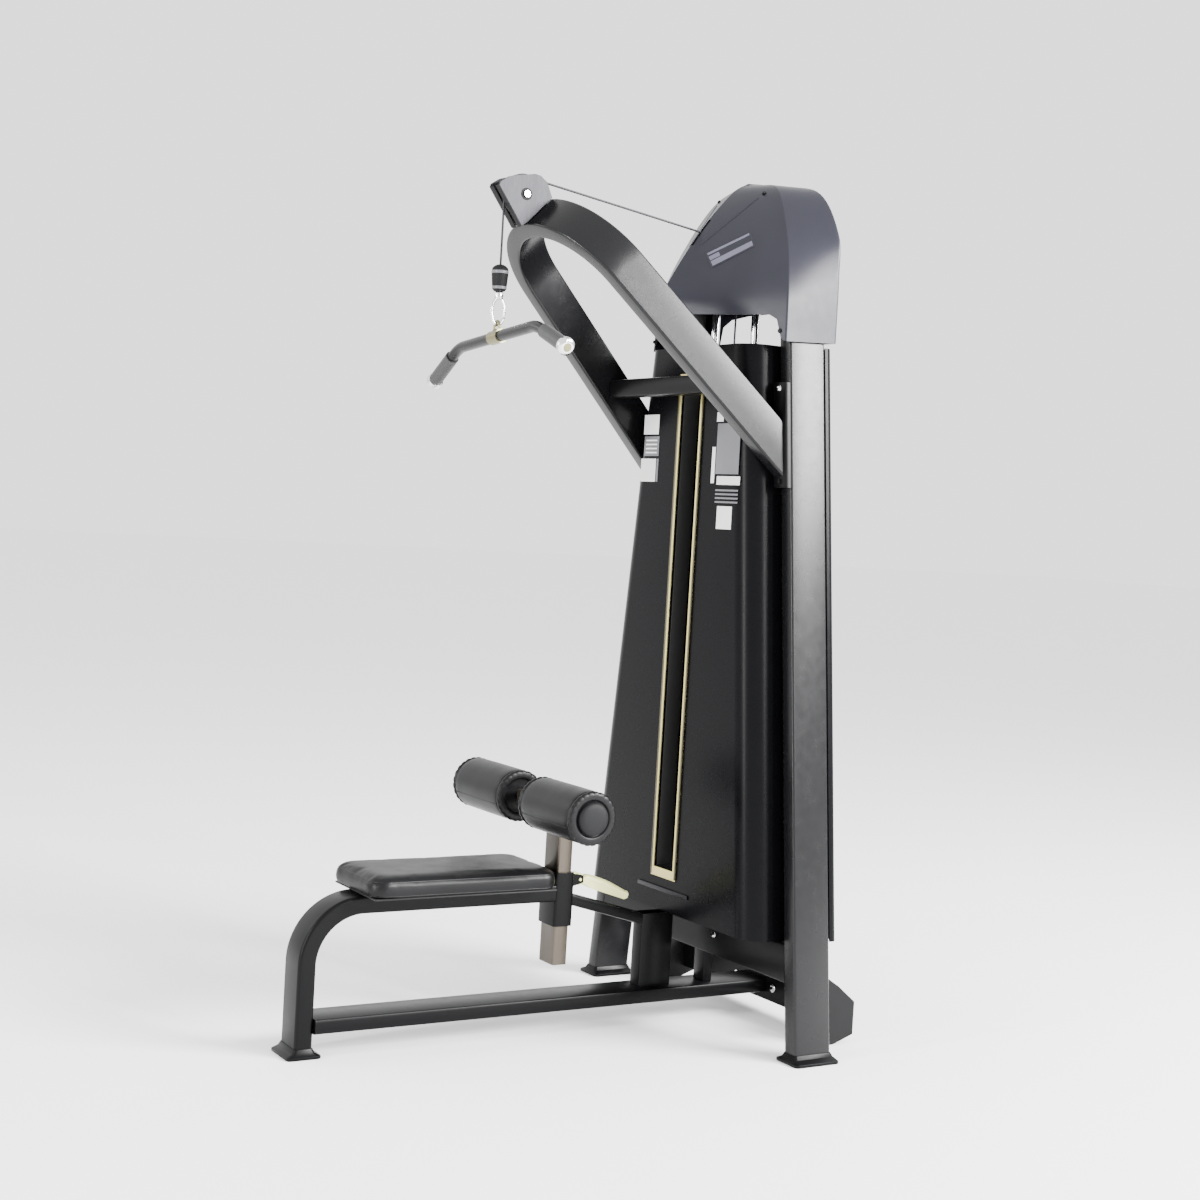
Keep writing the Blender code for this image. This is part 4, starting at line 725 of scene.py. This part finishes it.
# %% Hook and stopper
DROP_Y = FRONT_PULLEY[0] - WHEEL_RADIUS
STOPPER_LOW, STOPPER_HIGH, HOOK_LOW, HOOK_WIRE = 2.036, 2.108, 1.945, 0.0040
neck_high = STOPPER_LOW - FIT_GAP
ring_top = neck_high - 0.018
angle = np.linspace(0.0, 2 * np.pi, 72, endpoint=False)
half_y, half_z = 0.019, (ring_top - HOOK_LOW) / 2
centre_z = (neck_high - 0.020 + HOOK_LOW) / 2 + 0.002
middle = np.stack([np.zeros(72), DROP_Y + half_y * np.cos(angle), centre_z + half_z * np.sin(angle)], axis=1)
out = np.stack([np.zeros(72), np.cos(angle) * half_z, np.sin(angle) * half_y], axis=1)
out /= np.linalg.norm(out, axis=1, keepdims=True)
wire = np.linspace(0.0, 2 * np.pi, 16, endpoint=False)
ring = middle[:, None] + HOOK_WIRE * (
    np.cos(wire)[None, :, None] * out[:, None] + np.sin(wire)[None, :, None] * np.array((1.0, 0.0, 0.0))
)
hook_ring = object_from("hook_ring", in_place(ring), grid_faces(72, 16, True, True))
place(hook_ring, "hook", "chrome", stands_for=("swivel_hook",))
neck = turned(
    "hook_neck",
    ((neck_high - 0.022, 0.0065), (neck_high - 0.0212, 0.0085), (neck_high - 0.019, 0.0110),
     (neck_high - 0.016, 0.0118), (neck_high - 0.005, 0.0120), (neck_high - 0.003, 0.0112), (neck_high, 0.0090)),
    in_place((0.0, DROP_Y, 0.0)), "Z", 48,
)
place(neck, "hook", "chrome", stands_for=("swivel_hook",))
stopper = turned(
    "stopper_body",
    ((STOPPER_LOW, 0.0115), (STOPPER_LOW + 0.0015, 0.0150), (STOPPER_LOW + 0.005, 0.0180),
     (STOPPER_LOW + 0.018, 0.0205), (STOPPER_LOW + 0.040, 0.0222), (STOPPER_LOW + 0.043, 0.0228),
     (STOPPER_HIGH - 0.013, 0.0226), (STOPPER_HIGH - 0.008, 0.0205), (STOPPER_HIGH - 0.003, 0.0150),
     (STOPPER_HIGH, 0.0085)),
    in_place((0.0, DROP_Y, 0.0)), "Z", 48, sharp=60.0,
)
stand_in(stopper, "cable_stopper")
for step, (z, radius) in enumerate(((STOPPER_LOW + 0.0105, 0.0200), (STOPPER_LOW + 0.052, 0.0234))):
    band = hollow_turned(
        f"stopper_band_{step}",
        [(z + rise, radius - less) for rise, less in (
            (-0.004, 0.003), (-0.004, 0.0006), (-0.003, 0.0), (0.003, 0.0), (0.004, 0.0006), (0.004, 0.003),
        )],
        in_place((0.0, DROP_Y, 0.0)), "Z", 48,
    )
    place(band, "cable_end", "rubber", EXTRA["placard_grey"])

# %% [markdown]
# ## The pulldown bar
# A round bar, straight in the middle and bent down at each end. It hangs with its right end a little high.
# Grips sleeve the ends, polished caps close them, and a brass-coloured clamp holds the eye.

# %% Bar
BAR_Z, BAR_RADIUS = 1.914, 0.0155
BAR_STRAIGHT_X, BAR_END_X, BAR_DROP, BAR_TILT, BEND_SOFT = 0.220, 0.374, 0.076, math.radians(5.0), 0.030


def bar_line(x):
    """Centre line: level to the bend, a parabola through it, a steady slope after, all turned by the tilt."""
    past = np.abs(x) - BAR_STRAIGHT_X
    slope = BAR_DROP / (BAR_END_X - BAR_STRAIGHT_X)
    bend = np.where(past <= -BEND_SOFT, 0.0, slope * (past + BEND_SOFT) ** 2 / (4 * BEND_SOFT))
    fall = np.where(past >= BEND_SOFT, slope * past, bend)
    c, s = math.cos(BAR_TILT), math.sin(BAR_TILT)
    return in_place(np.stack([x * c + fall * s, np.full_like(x, DROP_Y), BAR_Z + x * s - fall * c], axis=-1))


bar = along_tube("lat_bar_tube", bar_line(np.linspace(-BAR_END_X, BAR_END_X, 120)), BAR_RADIUS, 32)
stand_in(bar, "lat_bar")
eye_angle = np.linspace(0.0, 2 * np.pi, 48, endpoint=False)
eye_height = BAR_Z + 0.0260 + 0.0165 * np.sin(eye_angle)
eye_middle = np.stack([0.0135 * np.cos(eye_angle), np.full(48, DROP_Y), eye_height], axis=1)
eye_out = np.stack([np.cos(eye_angle) * 0.0165, np.zeros(48), np.sin(eye_angle) * 0.0135], axis=1)
eye_out /= np.linalg.norm(eye_out, axis=1, keepdims=True)
eye = eye_middle[:, None] + HOOK_WIRE * (
    np.cos(wire)[None, :, None] * eye_out[:, None] + np.sin(wire)[None, :, None] * np.array((0.0, 1.0, 0.0))
)
place(object_from("bar_eye", in_place(eye), grid_faces(48, 16, True, True)), "bar", "chrome", EXTRA["olive_brass"])
clamp = along_tube("bar_clamp", bar_line(np.linspace(-0.026, 0.026, 12)), BAR_RADIUS + 0.0035, 40)
place(clamp, "bar", "chrome", EXTRA["olive_brass"])
boss_profile = ((1.916, 0.0), (1.916, 0.014), (1.932, 0.012), (1.9345, 0.0095), (1.935, 0.0))
boss = turned("bar_boss", boss_profile, in_place((0.0, DROP_Y, 0.0)), "Z", 32)
place(boss, "bar", "chrome", EXTRA["olive_brass"])

# %% Bar grips and caps
for side, name in ((-1, "left"), (1, "right")):
    reach = np.linspace(0.262, 0.3735, 60) * side
    spine = bar_line(reach)
    grip = along_tube(f"bar_grip_{name}", spine, 0.0195, 32)
    place(grip, "bar", "upright_grey", EXTRA["grip"])
    tip = spine[-1]
    heading = spine[-1] - spine[-2]
    heading /= np.linalg.norm(heading)
    steps = np.array((-0.011, -0.010, -0.002, 0.004, 0.008, 0.0095))
    radii = np.array((0.0200, 0.0230, 0.0242, 0.0234, 0.0190, 0.0125))
    side_dir = np.cross(heading, (0.0, 1.0, 0.0))
    turn = np.linspace(0.0, 2 * np.pi, 40, endpoint=False)
    round_tip = np.cos(turn)[None, :, None] * np.array((0.0, 1.0, 0.0)) + np.sin(turn)[None, :, None] * side_dir
    rings = tip + steps[:, None, None] * heading + radii[:, None, None] * round_tip
    place(lofted(f"bar_cap_{name}", rings), "bar", "chrome")
    steps = np.array((0.0093, 0.0105, 0.0110))
    radii = np.array((0.0118, 0.0112, 0.0070))
    rings = tip + steps[:, None, None] * heading + radii[:, None, None] * round_tip
    place(lofted(f"bar_plug_{name}", rings), "bar", "chrome", EXTRA["olive_brass"])
print("bar end", [round(v, 3) for v in bar_line(np.array([BAR_END_X]))[0]])

# %% [markdown]
# ## The seat pad
# Foam on a board under stretched vinyl. The start shape is a little small. Remeshing gives even cells, and cloth
# under pressure swells them as foam pushes against its cover. How far a point may move is capped, so that the pad
# keeps its outline.


# %% Swelling foam under its cover
def swollen(piece, voxel, pressure, cap, frames=20):
    """Voxel remesh, then Cloth with pressure and no gravity; each point's travel is capped; one subdivision."""
    step = piece.modifiers.new("even", "REMESH")
    step.mode, step.voxel_size = "VOXEL", voxel
    graph = bpy.context.evaluated_depsgraph_get()
    piece.data = bpy.data.meshes.new_from_object(piece.evaluated_get(graph))
    piece.modifiers.clear()
    rest = np.empty(len(piece.data.vertices) * 3)
    piece.data.vertices.foreach_get("co", rest)
    cloth = piece.modifiers.new("foam", "CLOTH")
    cloth.settings.use_pressure, cloth.settings.uniform_pressure_force = True, pressure
    cloth.settings.effector_weights.gravity = 0.0
    cloth.settings.quality = 5
    cloth.point_cache.frame_start, cloth.point_cache.frame_end = 1, frames
    for number in range(1, frames + 1):
        bpy.context.scene.frame_set(number)
    graph = bpy.context.evaluated_depsgraph_get()
    moved = np.empty_like(rest)
    swelled = piece.evaluated_get(graph).to_mesh()
    swelled.vertices.foreach_get("co", moved)
    piece.evaluated_get(graph).to_mesh_clear()
    piece.modifiers.clear()
    bpy.context.scene.frame_set(1)
    travel = (moved - rest).reshape(-1, 3)
    length = np.linalg.norm(travel, axis=1, keepdims=True)
    travel *= np.minimum(1.0, cap / np.maximum(length, 1e-9))
    piece.data.vertices.foreach_set("co", (rest.reshape(-1, 3) + travel).ravel())
    piece.data.update()
    finer = piece.modifiers.new("finer", "SUBSURF")
    finer.levels = finer.render_levels = 1
    piece.data.polygons.foreach_set("use_smooth", [True] * len(piece.data.polygons))
    return piece


# %% Seat pad
seat_low, seat_high = (np.array(corner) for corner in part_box("seat_pad"))
seat_middle, seat_half = (seat_low + seat_high) / 2, (seat_high - seat_low) / 2
LEVELS = (
    (0.0, 0.010), (0.004, 0.006), (0.018, 0.004), (0.034, 0.006), (0.0415, 0.011), (0.0470, 0.020),
    (0.0500, 0.034), (0.0512, 0.050),
)
rings = []
for rise, inset in LEVELS:
    outline = rounded_outline(seat_half[0] - inset, seat_half[1] - inset, 0.052 - inset * 0.7, 10)
    rings.append(np.column_stack([outline + seat_middle[:2], np.full(len(outline), seat_low[2] + 0.0005 + rise)]))
seat = swollen(lofted("seat_cushion", rings), 0.006, 4.0, 0.006)
stand_in(seat, "seat_pad")
print("seat vertices", len(seat.data.vertices), "top", round(max(v.co.z for v in seat.data.vertices), 4))

# %% [markdown]
# Seams come after the foam. A thin welt follows the line where the top panel meets the side band, and another
# follows the lower edge, where the cover is pulled under the board.


# %% Seat seams
def surface_points(piece, outline, z, inward=0.0):
    """Where horizontal rays from outside meet a piece, for each outline point, at one height."""
    bpy.context.view_layer.update()
    found = []
    centre = Vector((0.0, float(seat_middle[1]), z))
    for x, y in outline:
        start = Vector((x, y, z)) + (Vector((x, y, z)) - centre).normalized() * 0.05
        aim = (centre - start).normalized()
        hit, point, facing, _ = piece.ray_cast(start, aim)
        if hit:
            found.append(np.array(point) - np.array(facing) * inward)
    return np.array(found)


def closed_welt(name, line, radius, count=8):
    """A round cord closed along a loop: across is level, and the second direction is square to it and the loop."""
    heading = np.roll(line, -1, axis=0) - np.roll(line, 1, axis=0)
    heading /= np.linalg.norm(heading, axis=1, keepdims=True)
    across = np.cross(heading, (0.0, 0.0, 1.0))
    across /= np.linalg.norm(across, axis=1, keepdims=True)
    second = np.cross(heading, across)
    turn = np.linspace(0.0, 2 * np.pi, count, endpoint=False)
    rings = line[:, None] + radius * (
        np.cos(turn)[None, :, None] * across[:, None] + np.sin(turn)[None, :, None] * second[:, None]
    )
    return object_from(name, rings, grid_faces(len(line), count, True, True))


for name, rise, radius in (("seat_welt_upper", 0.0420, 0.0016), ("seat_welt_lower", 0.0055, 0.0014)):
    outline = rounded_outline(seat_half[0], seat_half[1], 0.052, 14) + seat_middle[:2]
    sides = zip(outline, np.roll(outline, -1, axis=0))
    dense = np.concatenate([np.linspace(a, b, 6, endpoint=False) for a, b in sides])
    welt = closed_welt(name, surface_points(seat, dense, float(seat_low[2]) + rise, 0.0006), radius)
    place(welt, "frame", "vinyl")
    print(name, len(dense), "points")

# %% [markdown]
# ## Thigh rollers
# Each roller is a foam sleeve in vinyl. A welt runs along it and its ends are gathered over a ring, round a domed
# cap. The sleeve is turned from a profile, with gathers pressed into its ends by a wave round the axis.


# %% Roller sleeves
def roller_sleeve(name, inner_x, outer_x, centre_y, centre_z, radius):
    """Turned sleeve with radius r(x), less gathers: depth times (1 - |sin(12 t)|) ^ 1.5 near each end face."""
    length = outer_x - inner_x
    profile = np.array((
        (0.0050, 0.0150), (0.0050, 0.0300), (0.0050, 0.0455), (0.0042, 0.0475), (0.0015, 0.0490), (0.0002, 0.0520),
        (0.0, 0.0570), (0.0004, 0.0630), (0.0020, 0.0680), (0.0050, 0.0708), (0.0085, 0.0712), (0.0115, 0.0702),
        (0.0135, 0.0672), (0.0150, 0.0668), (0.0170, 0.0686), (0.0220, 0.0698), (0.0350, 0.0702), (0.0500, 0.0704),
    ))
    far = profile[::-1].copy()
    far[:, 0] = length - far[:, 0]
    middle = np.column_stack([np.linspace(0.06, length - 0.06, 16), np.full(16, 0.0)])
    middle[:, 1] = 0.0704 + 0.0002 * np.sin(np.pi * np.linspace(0, 1, 16))
    whole = np.vstack([profile, middle, far])
    bore = np.array(((length, 0.0150), (0.0, 0.0150)))
    loop = np.vstack([whole, bore[:1], bore[1:]])
    count = 192
    turn = np.linspace(0.0, 2 * np.pi, count, endpoint=False)[:, None]
    nearness = np.minimum(loop[:, 0], length - loop[:, 0])[None, :]
    ends = np.exp(-((nearness - 0.004) / 0.008) ** 2) * (loop[None, :, 1] > 0.055)
    gathers = 0.0024 * ends * (1.0 - np.abs(np.sin(12 * turn + 0.3 * np.sin(3 * turn)))) ** 1.5
    scale = radius / 0.0714
    r = (loop[None, :, 1] - gathers) * np.where(loop[None, :, 1] > 0.02, scale, 1.0)
    x = inner_x + np.broadcast_to(loop[:, 0], r.shape)
    points = np.stack([x, centre_y + r * np.cos(turn), centre_z + r * np.sin(turn)], axis=-1)
    return object_from(name, points, grid_faces(count, len(loop), True, True), sharp=75.0)


CAP_PROFILE = (
    (-0.006, 0.0440), (0.0020, 0.0440), (0.0056, 0.0428), (0.0086, 0.0380), (0.0108, 0.0280), (0.0118, 0.0150),
    (0.0120, 0.0020),
)
for side, name in ((-1, "left"), (1, "right")):
    low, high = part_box(f"roller_{name}")
    centre_y, centre_z, radius = (low.y + high.y) / 2, (low.z + high.z) / 2, (high.z - low.z) / 2
    body = f"{name}_roller"
    sleeve = roller_sleeve(f"roller_{name}_sleeve", low.x, high.x, centre_y, centre_z, radius)
    stand_in(sleeve, f"roller_{name}")
    tilt = math.radians(200.0)
    seam_x = np.linspace(low.x + 0.018, high.x - 0.018, 40)
    seam_r = np.full(40, radius * 0.0704 / 0.0714 - 0.0004)
    line = np.stack([seam_x, centre_y + seam_r * math.cos(tilt), centre_z + seam_r * math.sin(tilt)], axis=1)
    place(along_tube(f"roller_{name}_welt", line, 0.0014, 8), body, "vinyl")
    x = high.x if side > 0 else low.x
    cap = turned(
        f"roller_{name}_cap",
        [(side * a, r) for a, r in CAP_PROFILE],
        (x, centre_y, centre_z), "X", 64, sharp=60.0,
    )
    place(cap, "pad_carriage", "rubber")
print("rollers done")

# %% [markdown]
# ## Bolts, screws, badge and small fittings
# Fasteners are small turned heads. The badge is a plain tilted plate with a raised line, a bar and a block on it,
# in place of a mark. They sit on their surfaces and ride on the frame.


# %% Fasteners
BOLT_STEPS = (
    (-0.0005, 1.45, 0), (0.0012, 1.45, 0), (0.0016, 1.38, 0), (0.0016, 1.0, 1), (0.0050, 1.0, 1),
    (0.0062, 0.86, 1), (0.0064, 0.5, 1),
)


def facing_frame(direction):
    """Two directions square to a given one."""
    direction = np.asarray(direction, float) / np.linalg.norm(direction)
    guide = np.array((0.0, 0.0, 1.0)) if abs(direction[2]) < 0.9 else np.array((1.0, 0.0, 0.0))
    first = np.cross(guide, direction)
    first /= np.linalg.norm(first)
    return direction, first, np.cross(direction, first)


def bolt_head(name, place_at, direction, radius, finish, slot="chrome", body="frame", sides=6):
    """A washer with a six-sided or round head on it, stacked along a direction."""
    direction, first, second = facing_frame(direction)
    turn = np.linspace(0.0, 2 * np.pi, 36, endpoint=False)
    shape = np.ones(36)
    if sides < 12:
        shape = np.cos(np.pi / sides) / np.cos((turn % (2 * np.pi / sides)) - np.pi / sides)
    circle = np.cos(turn)[:, None] * first + np.sin(turn)[:, None] * second
    rings = [
        np.asarray(place_at, float) + up * direction
        + radius * wide * (np.where(hexed, shape, 1.0)[:, None]) * circle
        for up, wide, hexed in BOLT_STEPS
    ]
    return place(lofted(name, np.array(rings), sharp=30.0), body, slot, finish)


def upright_x(z):
    """Where an upright's centre line stands at a height: it leans inward in a straight line."""
    return UPRIGHT_FLOOR_X - UPRIGHT_LEAN * z


PAIRED_BOLTS = (
    (0.0925, 0.195, 0.081, 0.0085, "chrome"), (0.1304, -0.058, 0.267, 0.0075, "chrome"),
    (upright_x(1.828), -0.0801, 1.828, 0.0065, "chrome"),
    (upright_x(1.572), -0.0801, 1.572, 0.0065, "frame_black"),
)
FORWARD, DOWN = (0, -1, 0), (0, 0, -1)
bolts = [((side * x, y, z), FORWARD, radius, slot) for x, y, z, radius, slot in PAIRED_BOLTS for side in (1, -1)]
bolts += [((0.0, y, 0.370), DOWN, 0.0070, "frame_black") for y in (-0.780, -0.960)]
for number, (spot, direction, radius, slot) in enumerate(bolts, 1):
    bolt_head(f"bolt_{number}", in_place(spot), direction, radius, FINISHES[slot], slot)
print("bolts", len(bolts))


# %% Points on the head cover
def on_skin(piece, x, z, from_y=-0.6):
    """Where a ray along +Y meets a piece, and the way its surface faces there."""
    hit, point, facing, _ = piece.ray_cast(Vector((x, from_y, z)), Vector((0.0, 1.0, 0.0)))
    return np.array(point), np.array(facing)


right_half = bpy.data.objects["head_cover_right_shell"]
left_half = bpy.data.objects["head_cover_left_shell"]
bpy.context.view_layer.update()
for side, half in ((1, right_half), (-1, left_half)):
    for step, (x, z) in enumerate(((0.112, 2.392), (0.318, 1.985))):
        point, facing = on_skin(half, side * x, z)
        name = f"head_screw_{'right' if side > 0 else 'left'}_{step}"
        seat = point - facing * 0.001
        bolt_head(name, seat, facing, 0.0048, FINISHES["frame_black"], "frame_black", sides=12)

# %% Raised line and badge
for side, half in ((1, right_half), (-1, left_half)):
    label = "right" if side > 0 else "left"
    share = np.linspace(0.0, 1.0, 40)
    spine = []
    for x, z in zip(0.030 + 0.074 * share, 2.236 + 0.143 * share):
        point, facing = on_skin(half, side * x, z)
        spine.append(point + facing * 0.0002)
    place(along_tube(f"head_line_{label}", np.array(spine), 0.0013, 8), "frame", "head_slate")

BADGE_CORNERS = ((0.058, 2.2084), (0.150, 2.2700), (0.186, 2.2280), (0.100, 2.1640))
corners = [on_skin(right_half, x, z) for x, z in BADGE_CORNERS]
points = np.array([point for point, _ in corners])
outward = np.mean([facing for _, facing in corners], axis=0)
outward /= np.linalg.norm(outward)
points -= ((points - points.mean(axis=0)) @ outward)[:, None] * outward


def badge_part(name, u_range, v_range, lift, thick, finish):
    """A thin tilted tile between shares u and v of the badge's four corners, raised off the skin."""
    (u0, u1), (v0, v1) = u_range, v_range
    a, b, c, d = points
    shares = ((u0, v0), (u1, v0), (u1, v1), (u0, v1))
    flat = np.array([(1 - v) * ((1 - u) * a + u * b) + v * ((1 - u) * d + u * c) for u, v in shares])
    middle = flat.mean(axis=0)
    steps = ((lift, 1.0), (lift + thick * 0.7, 1.0), (lift + thick, 0.97))
    rings = [middle + (flat - middle) * shrink + outward * rise for rise, shrink in steps]
    return place(lofted(name, np.array(rings), smooth=False), "frame", "head_slate", finish)


badge_part("badge_plate", (0.0, 1.0), (0.0, 1.0), -0.003, 0.0055, FINISHES["head_slate"])
badge_part("badge_top_line", (0.03, 0.97), (0.06, 0.20), 0.0020, 0.0012, EXTRA["badge_pale"])
badge_part("badge_bar", (0.03, 0.97), (0.62, 0.94), 0.0020, 0.0012, EXTRA["badge_pale"])
badge_part("badge_block", (0.03, 0.26), (0.30, 0.56), 0.0020, 0.0012, EXTRA["badge_pale"])
print("badge facing", [round(v, 2) for v in outward])

# %% [markdown]
# The adjuster's lever carries a moulded cheek on each side of its hub and a thick grip down its handle, with room
# between the cheeks for the pin to draw back. The grip's radius swells and narrows along its length, so it is a
# tube whose section is scaled at each step.

# %% Lever knob and grip
LEVER_Y, LEVER_Z = -0.450, 0.4245
CHEEK_PROFILE = (
    (0.0095, 0.0060), (0.0095, 0.0150), (0.0105, 0.0168), (0.0135, 0.0176), (0.0165, 0.0166), (0.0180, 0.0140),
    (0.0180, 0.0060),
)
for side, name in ((-1, "left"), (1, "right")):
    cheek = turned(
        f"lever_knob_{name}",
        [(side * x, r) for x, r in CHEEK_PROFILE],
        in_place((0.0, LEVER_Y, LEVER_Z)), "X", 48, sharp=60.0,
    )
    place(cheek, "lever", "yellow")
reach = np.linspace(0.0, 1.0, 40)
drop = 0.004 - 0.060 * reach + 0.014 * reach * (1 - reach)
spine = np.column_stack([np.zeros(40), LEVER_Y + 0.020 + 0.155 * reach, LEVER_Z + drop])
swell = 0.0095 + 0.0035 * np.sin(np.pi * np.clip(reach * 1.1, 0, 1)) - 0.0030 * reach
swell[[0, 1, -3, -2, -1]] = (0.0040, 0.0085, 0.0085, 0.0070, 0.0035)
turn = np.linspace(0.0, 2 * np.pi, 24, endpoint=False)
section = np.stack([1.25 * np.cos(turn), 0.33 * np.sin(turn), 0.94 * np.sin(turn)], axis=1)
rings = in_place(spine)[:, None] + swell[:, None, None] * section[None]
place(lofted("lever_grip", rings), "lever", "yellow")

# %% [markdown]
# The pulley bracket's front edge is closed by two thin black strips, with a gap between them where the cable
# drops. The strips are painted shade: they stand for the shadowed gap between the plates. A dark washer rings
# each end of the pulley's axle.

# %% Painted-shade strips and washers
edge = in_place(np.array(((0.0, -0.832, 2.315), (0.0, -0.757, 2.214))))
inward = np.array(((0.0, 0.803, 0.596),) * 2)
for side, name in ((-1, "left"), (1, "right")):
    section = [(side * x, y) for x, y in ((0.0060, 0.0002), (0.0230, 0.0002), (0.0230, 0.0020), (0.0060, 0.0020))]
    # black strips in the plates' gap: painted shade for the shadowed gap between the plates
    place(swept(f"gap_shade_strip_{name}", edge, section, np.array(((1.0, 0.0, 0.0),) * 2), inward), "frame", "rubber")
    low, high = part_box("front_pulley_axle")
    middle = (0.0, (low.y + high.y) / 2, (low.z + high.z) / 2)
    profile = [(side * x, r) for x, r in ((0.0297, 0.0112), (0.0297, 0.0165), (0.0309, 0.0160), (0.0309, 0.0112))]
    washer = hollow_turned(f"axle_washer_{name}", profile, middle, "X", 48, sharp=40.0)
    place(washer, "frame", "rubber")

# %% [markdown]
# The floor beam is wider than the post that it meets, so its open end would show. A small plug closes it, as a
# welded end plate does, and two more close the pad post's ends.

# %% End plugs
low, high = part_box("base_beam")
inset = 0.0034  # the beam's wall and a clearance
plug = block(
    "beam_plug", (low.x + inset, low.y + 0.0005, low.z + inset), (high.x - inset, low.y + 0.006, high.z - inset),
    0.0012,
)
place(plug, "frame", "frame_black")
low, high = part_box("pad_post")
for label, z in (("lower", low.z + 0.0005), ("upper", high.z - 0.0055)):
    low, high = in_place((-0.0365, -0.532, z)), in_place((0.0365, -0.494, z + 0.005))
    plug = block(f"post_plug_{label}", low, high, 0.0012)
    place(plug, "pad_carriage", "rubber")

# %% [markdown]
# ## Studio
# A pale floor that runs far back, an even pale surround and a few soft boxes. The largest box stands behind the
# right side, high up, so that the satin sides of the uprights and arm shade from light at the top to dark below.

# %% Floor and surround
extent = 60.0
floor_corners = [(x * extent, y * extent, -0.001) for x, y in ((-1, -1), (1, -1), (1, 1), (-1, 1))]
floor = object_from("floor", floor_corners, [[0, 1, 2, 3]], merge=False)
floor_finish, floor_tree, floor_shader = new_finish("floor", (0.92, 0.92, 0.92), 0.9, specular=0.1)
patches = noise(floor_tree, mapped(floor_tree), 0.4)
tint(floor_tree, floor_shader, patches, (0.955, 0.955, 0.955), (0.965, 0.965, 0.965))
floor.data.materials.append(floor_finish)
world = bpy.data.worlds.new("surround")
world.use_nodes = True
world.node_tree.nodes["Background"].inputs["Color"].default_value = (1.0, 1.0, 1.0, 1.0)
world.node_tree.nodes["Background"].inputs["Strength"].default_value = 2.0
bpy.context.scene.world = world


# %% Soft boxes
def soft_box(name, stands, aims, width, height, power):
    """An area light of a size, turned to face a point."""
    light = bpy.data.lights.new(name, "AREA")
    light.shape, light.size, light.size_y, light.energy = "RECTANGLE", width, height, power
    made = bpy.data.objects.new(name, light)
    turned_to = (Vector(aims) - Vector(stands)).to_track_quat("-Z", "Y").to_matrix().to_4x4()
    made.matrix_world = Matrix.Translation(stands) @ turned_to
    bpy.context.scene.collection.objects.link(made)


soft_box("side_box", (5.2, 4.6, 3.9), (0.3, 0.3, 1.7), 3.6, 2.2, 2400.0)
soft_box("front_strip", (0.9, -5.6, 2.2), (0.2, 0.2, 1.2), 0.35, 3.6, 330.0)
soft_box("right_strip", (6.4, 1.75, 3.0), (0.36, 0.40, 1.3), 0.30, 3.4, 260.0)
soft_box("left_fill", (-3.5, -4.0, 3.4), (0.0, 0.2, 1.0), 2.5, 2.0, 60.0)
print("studio ready")
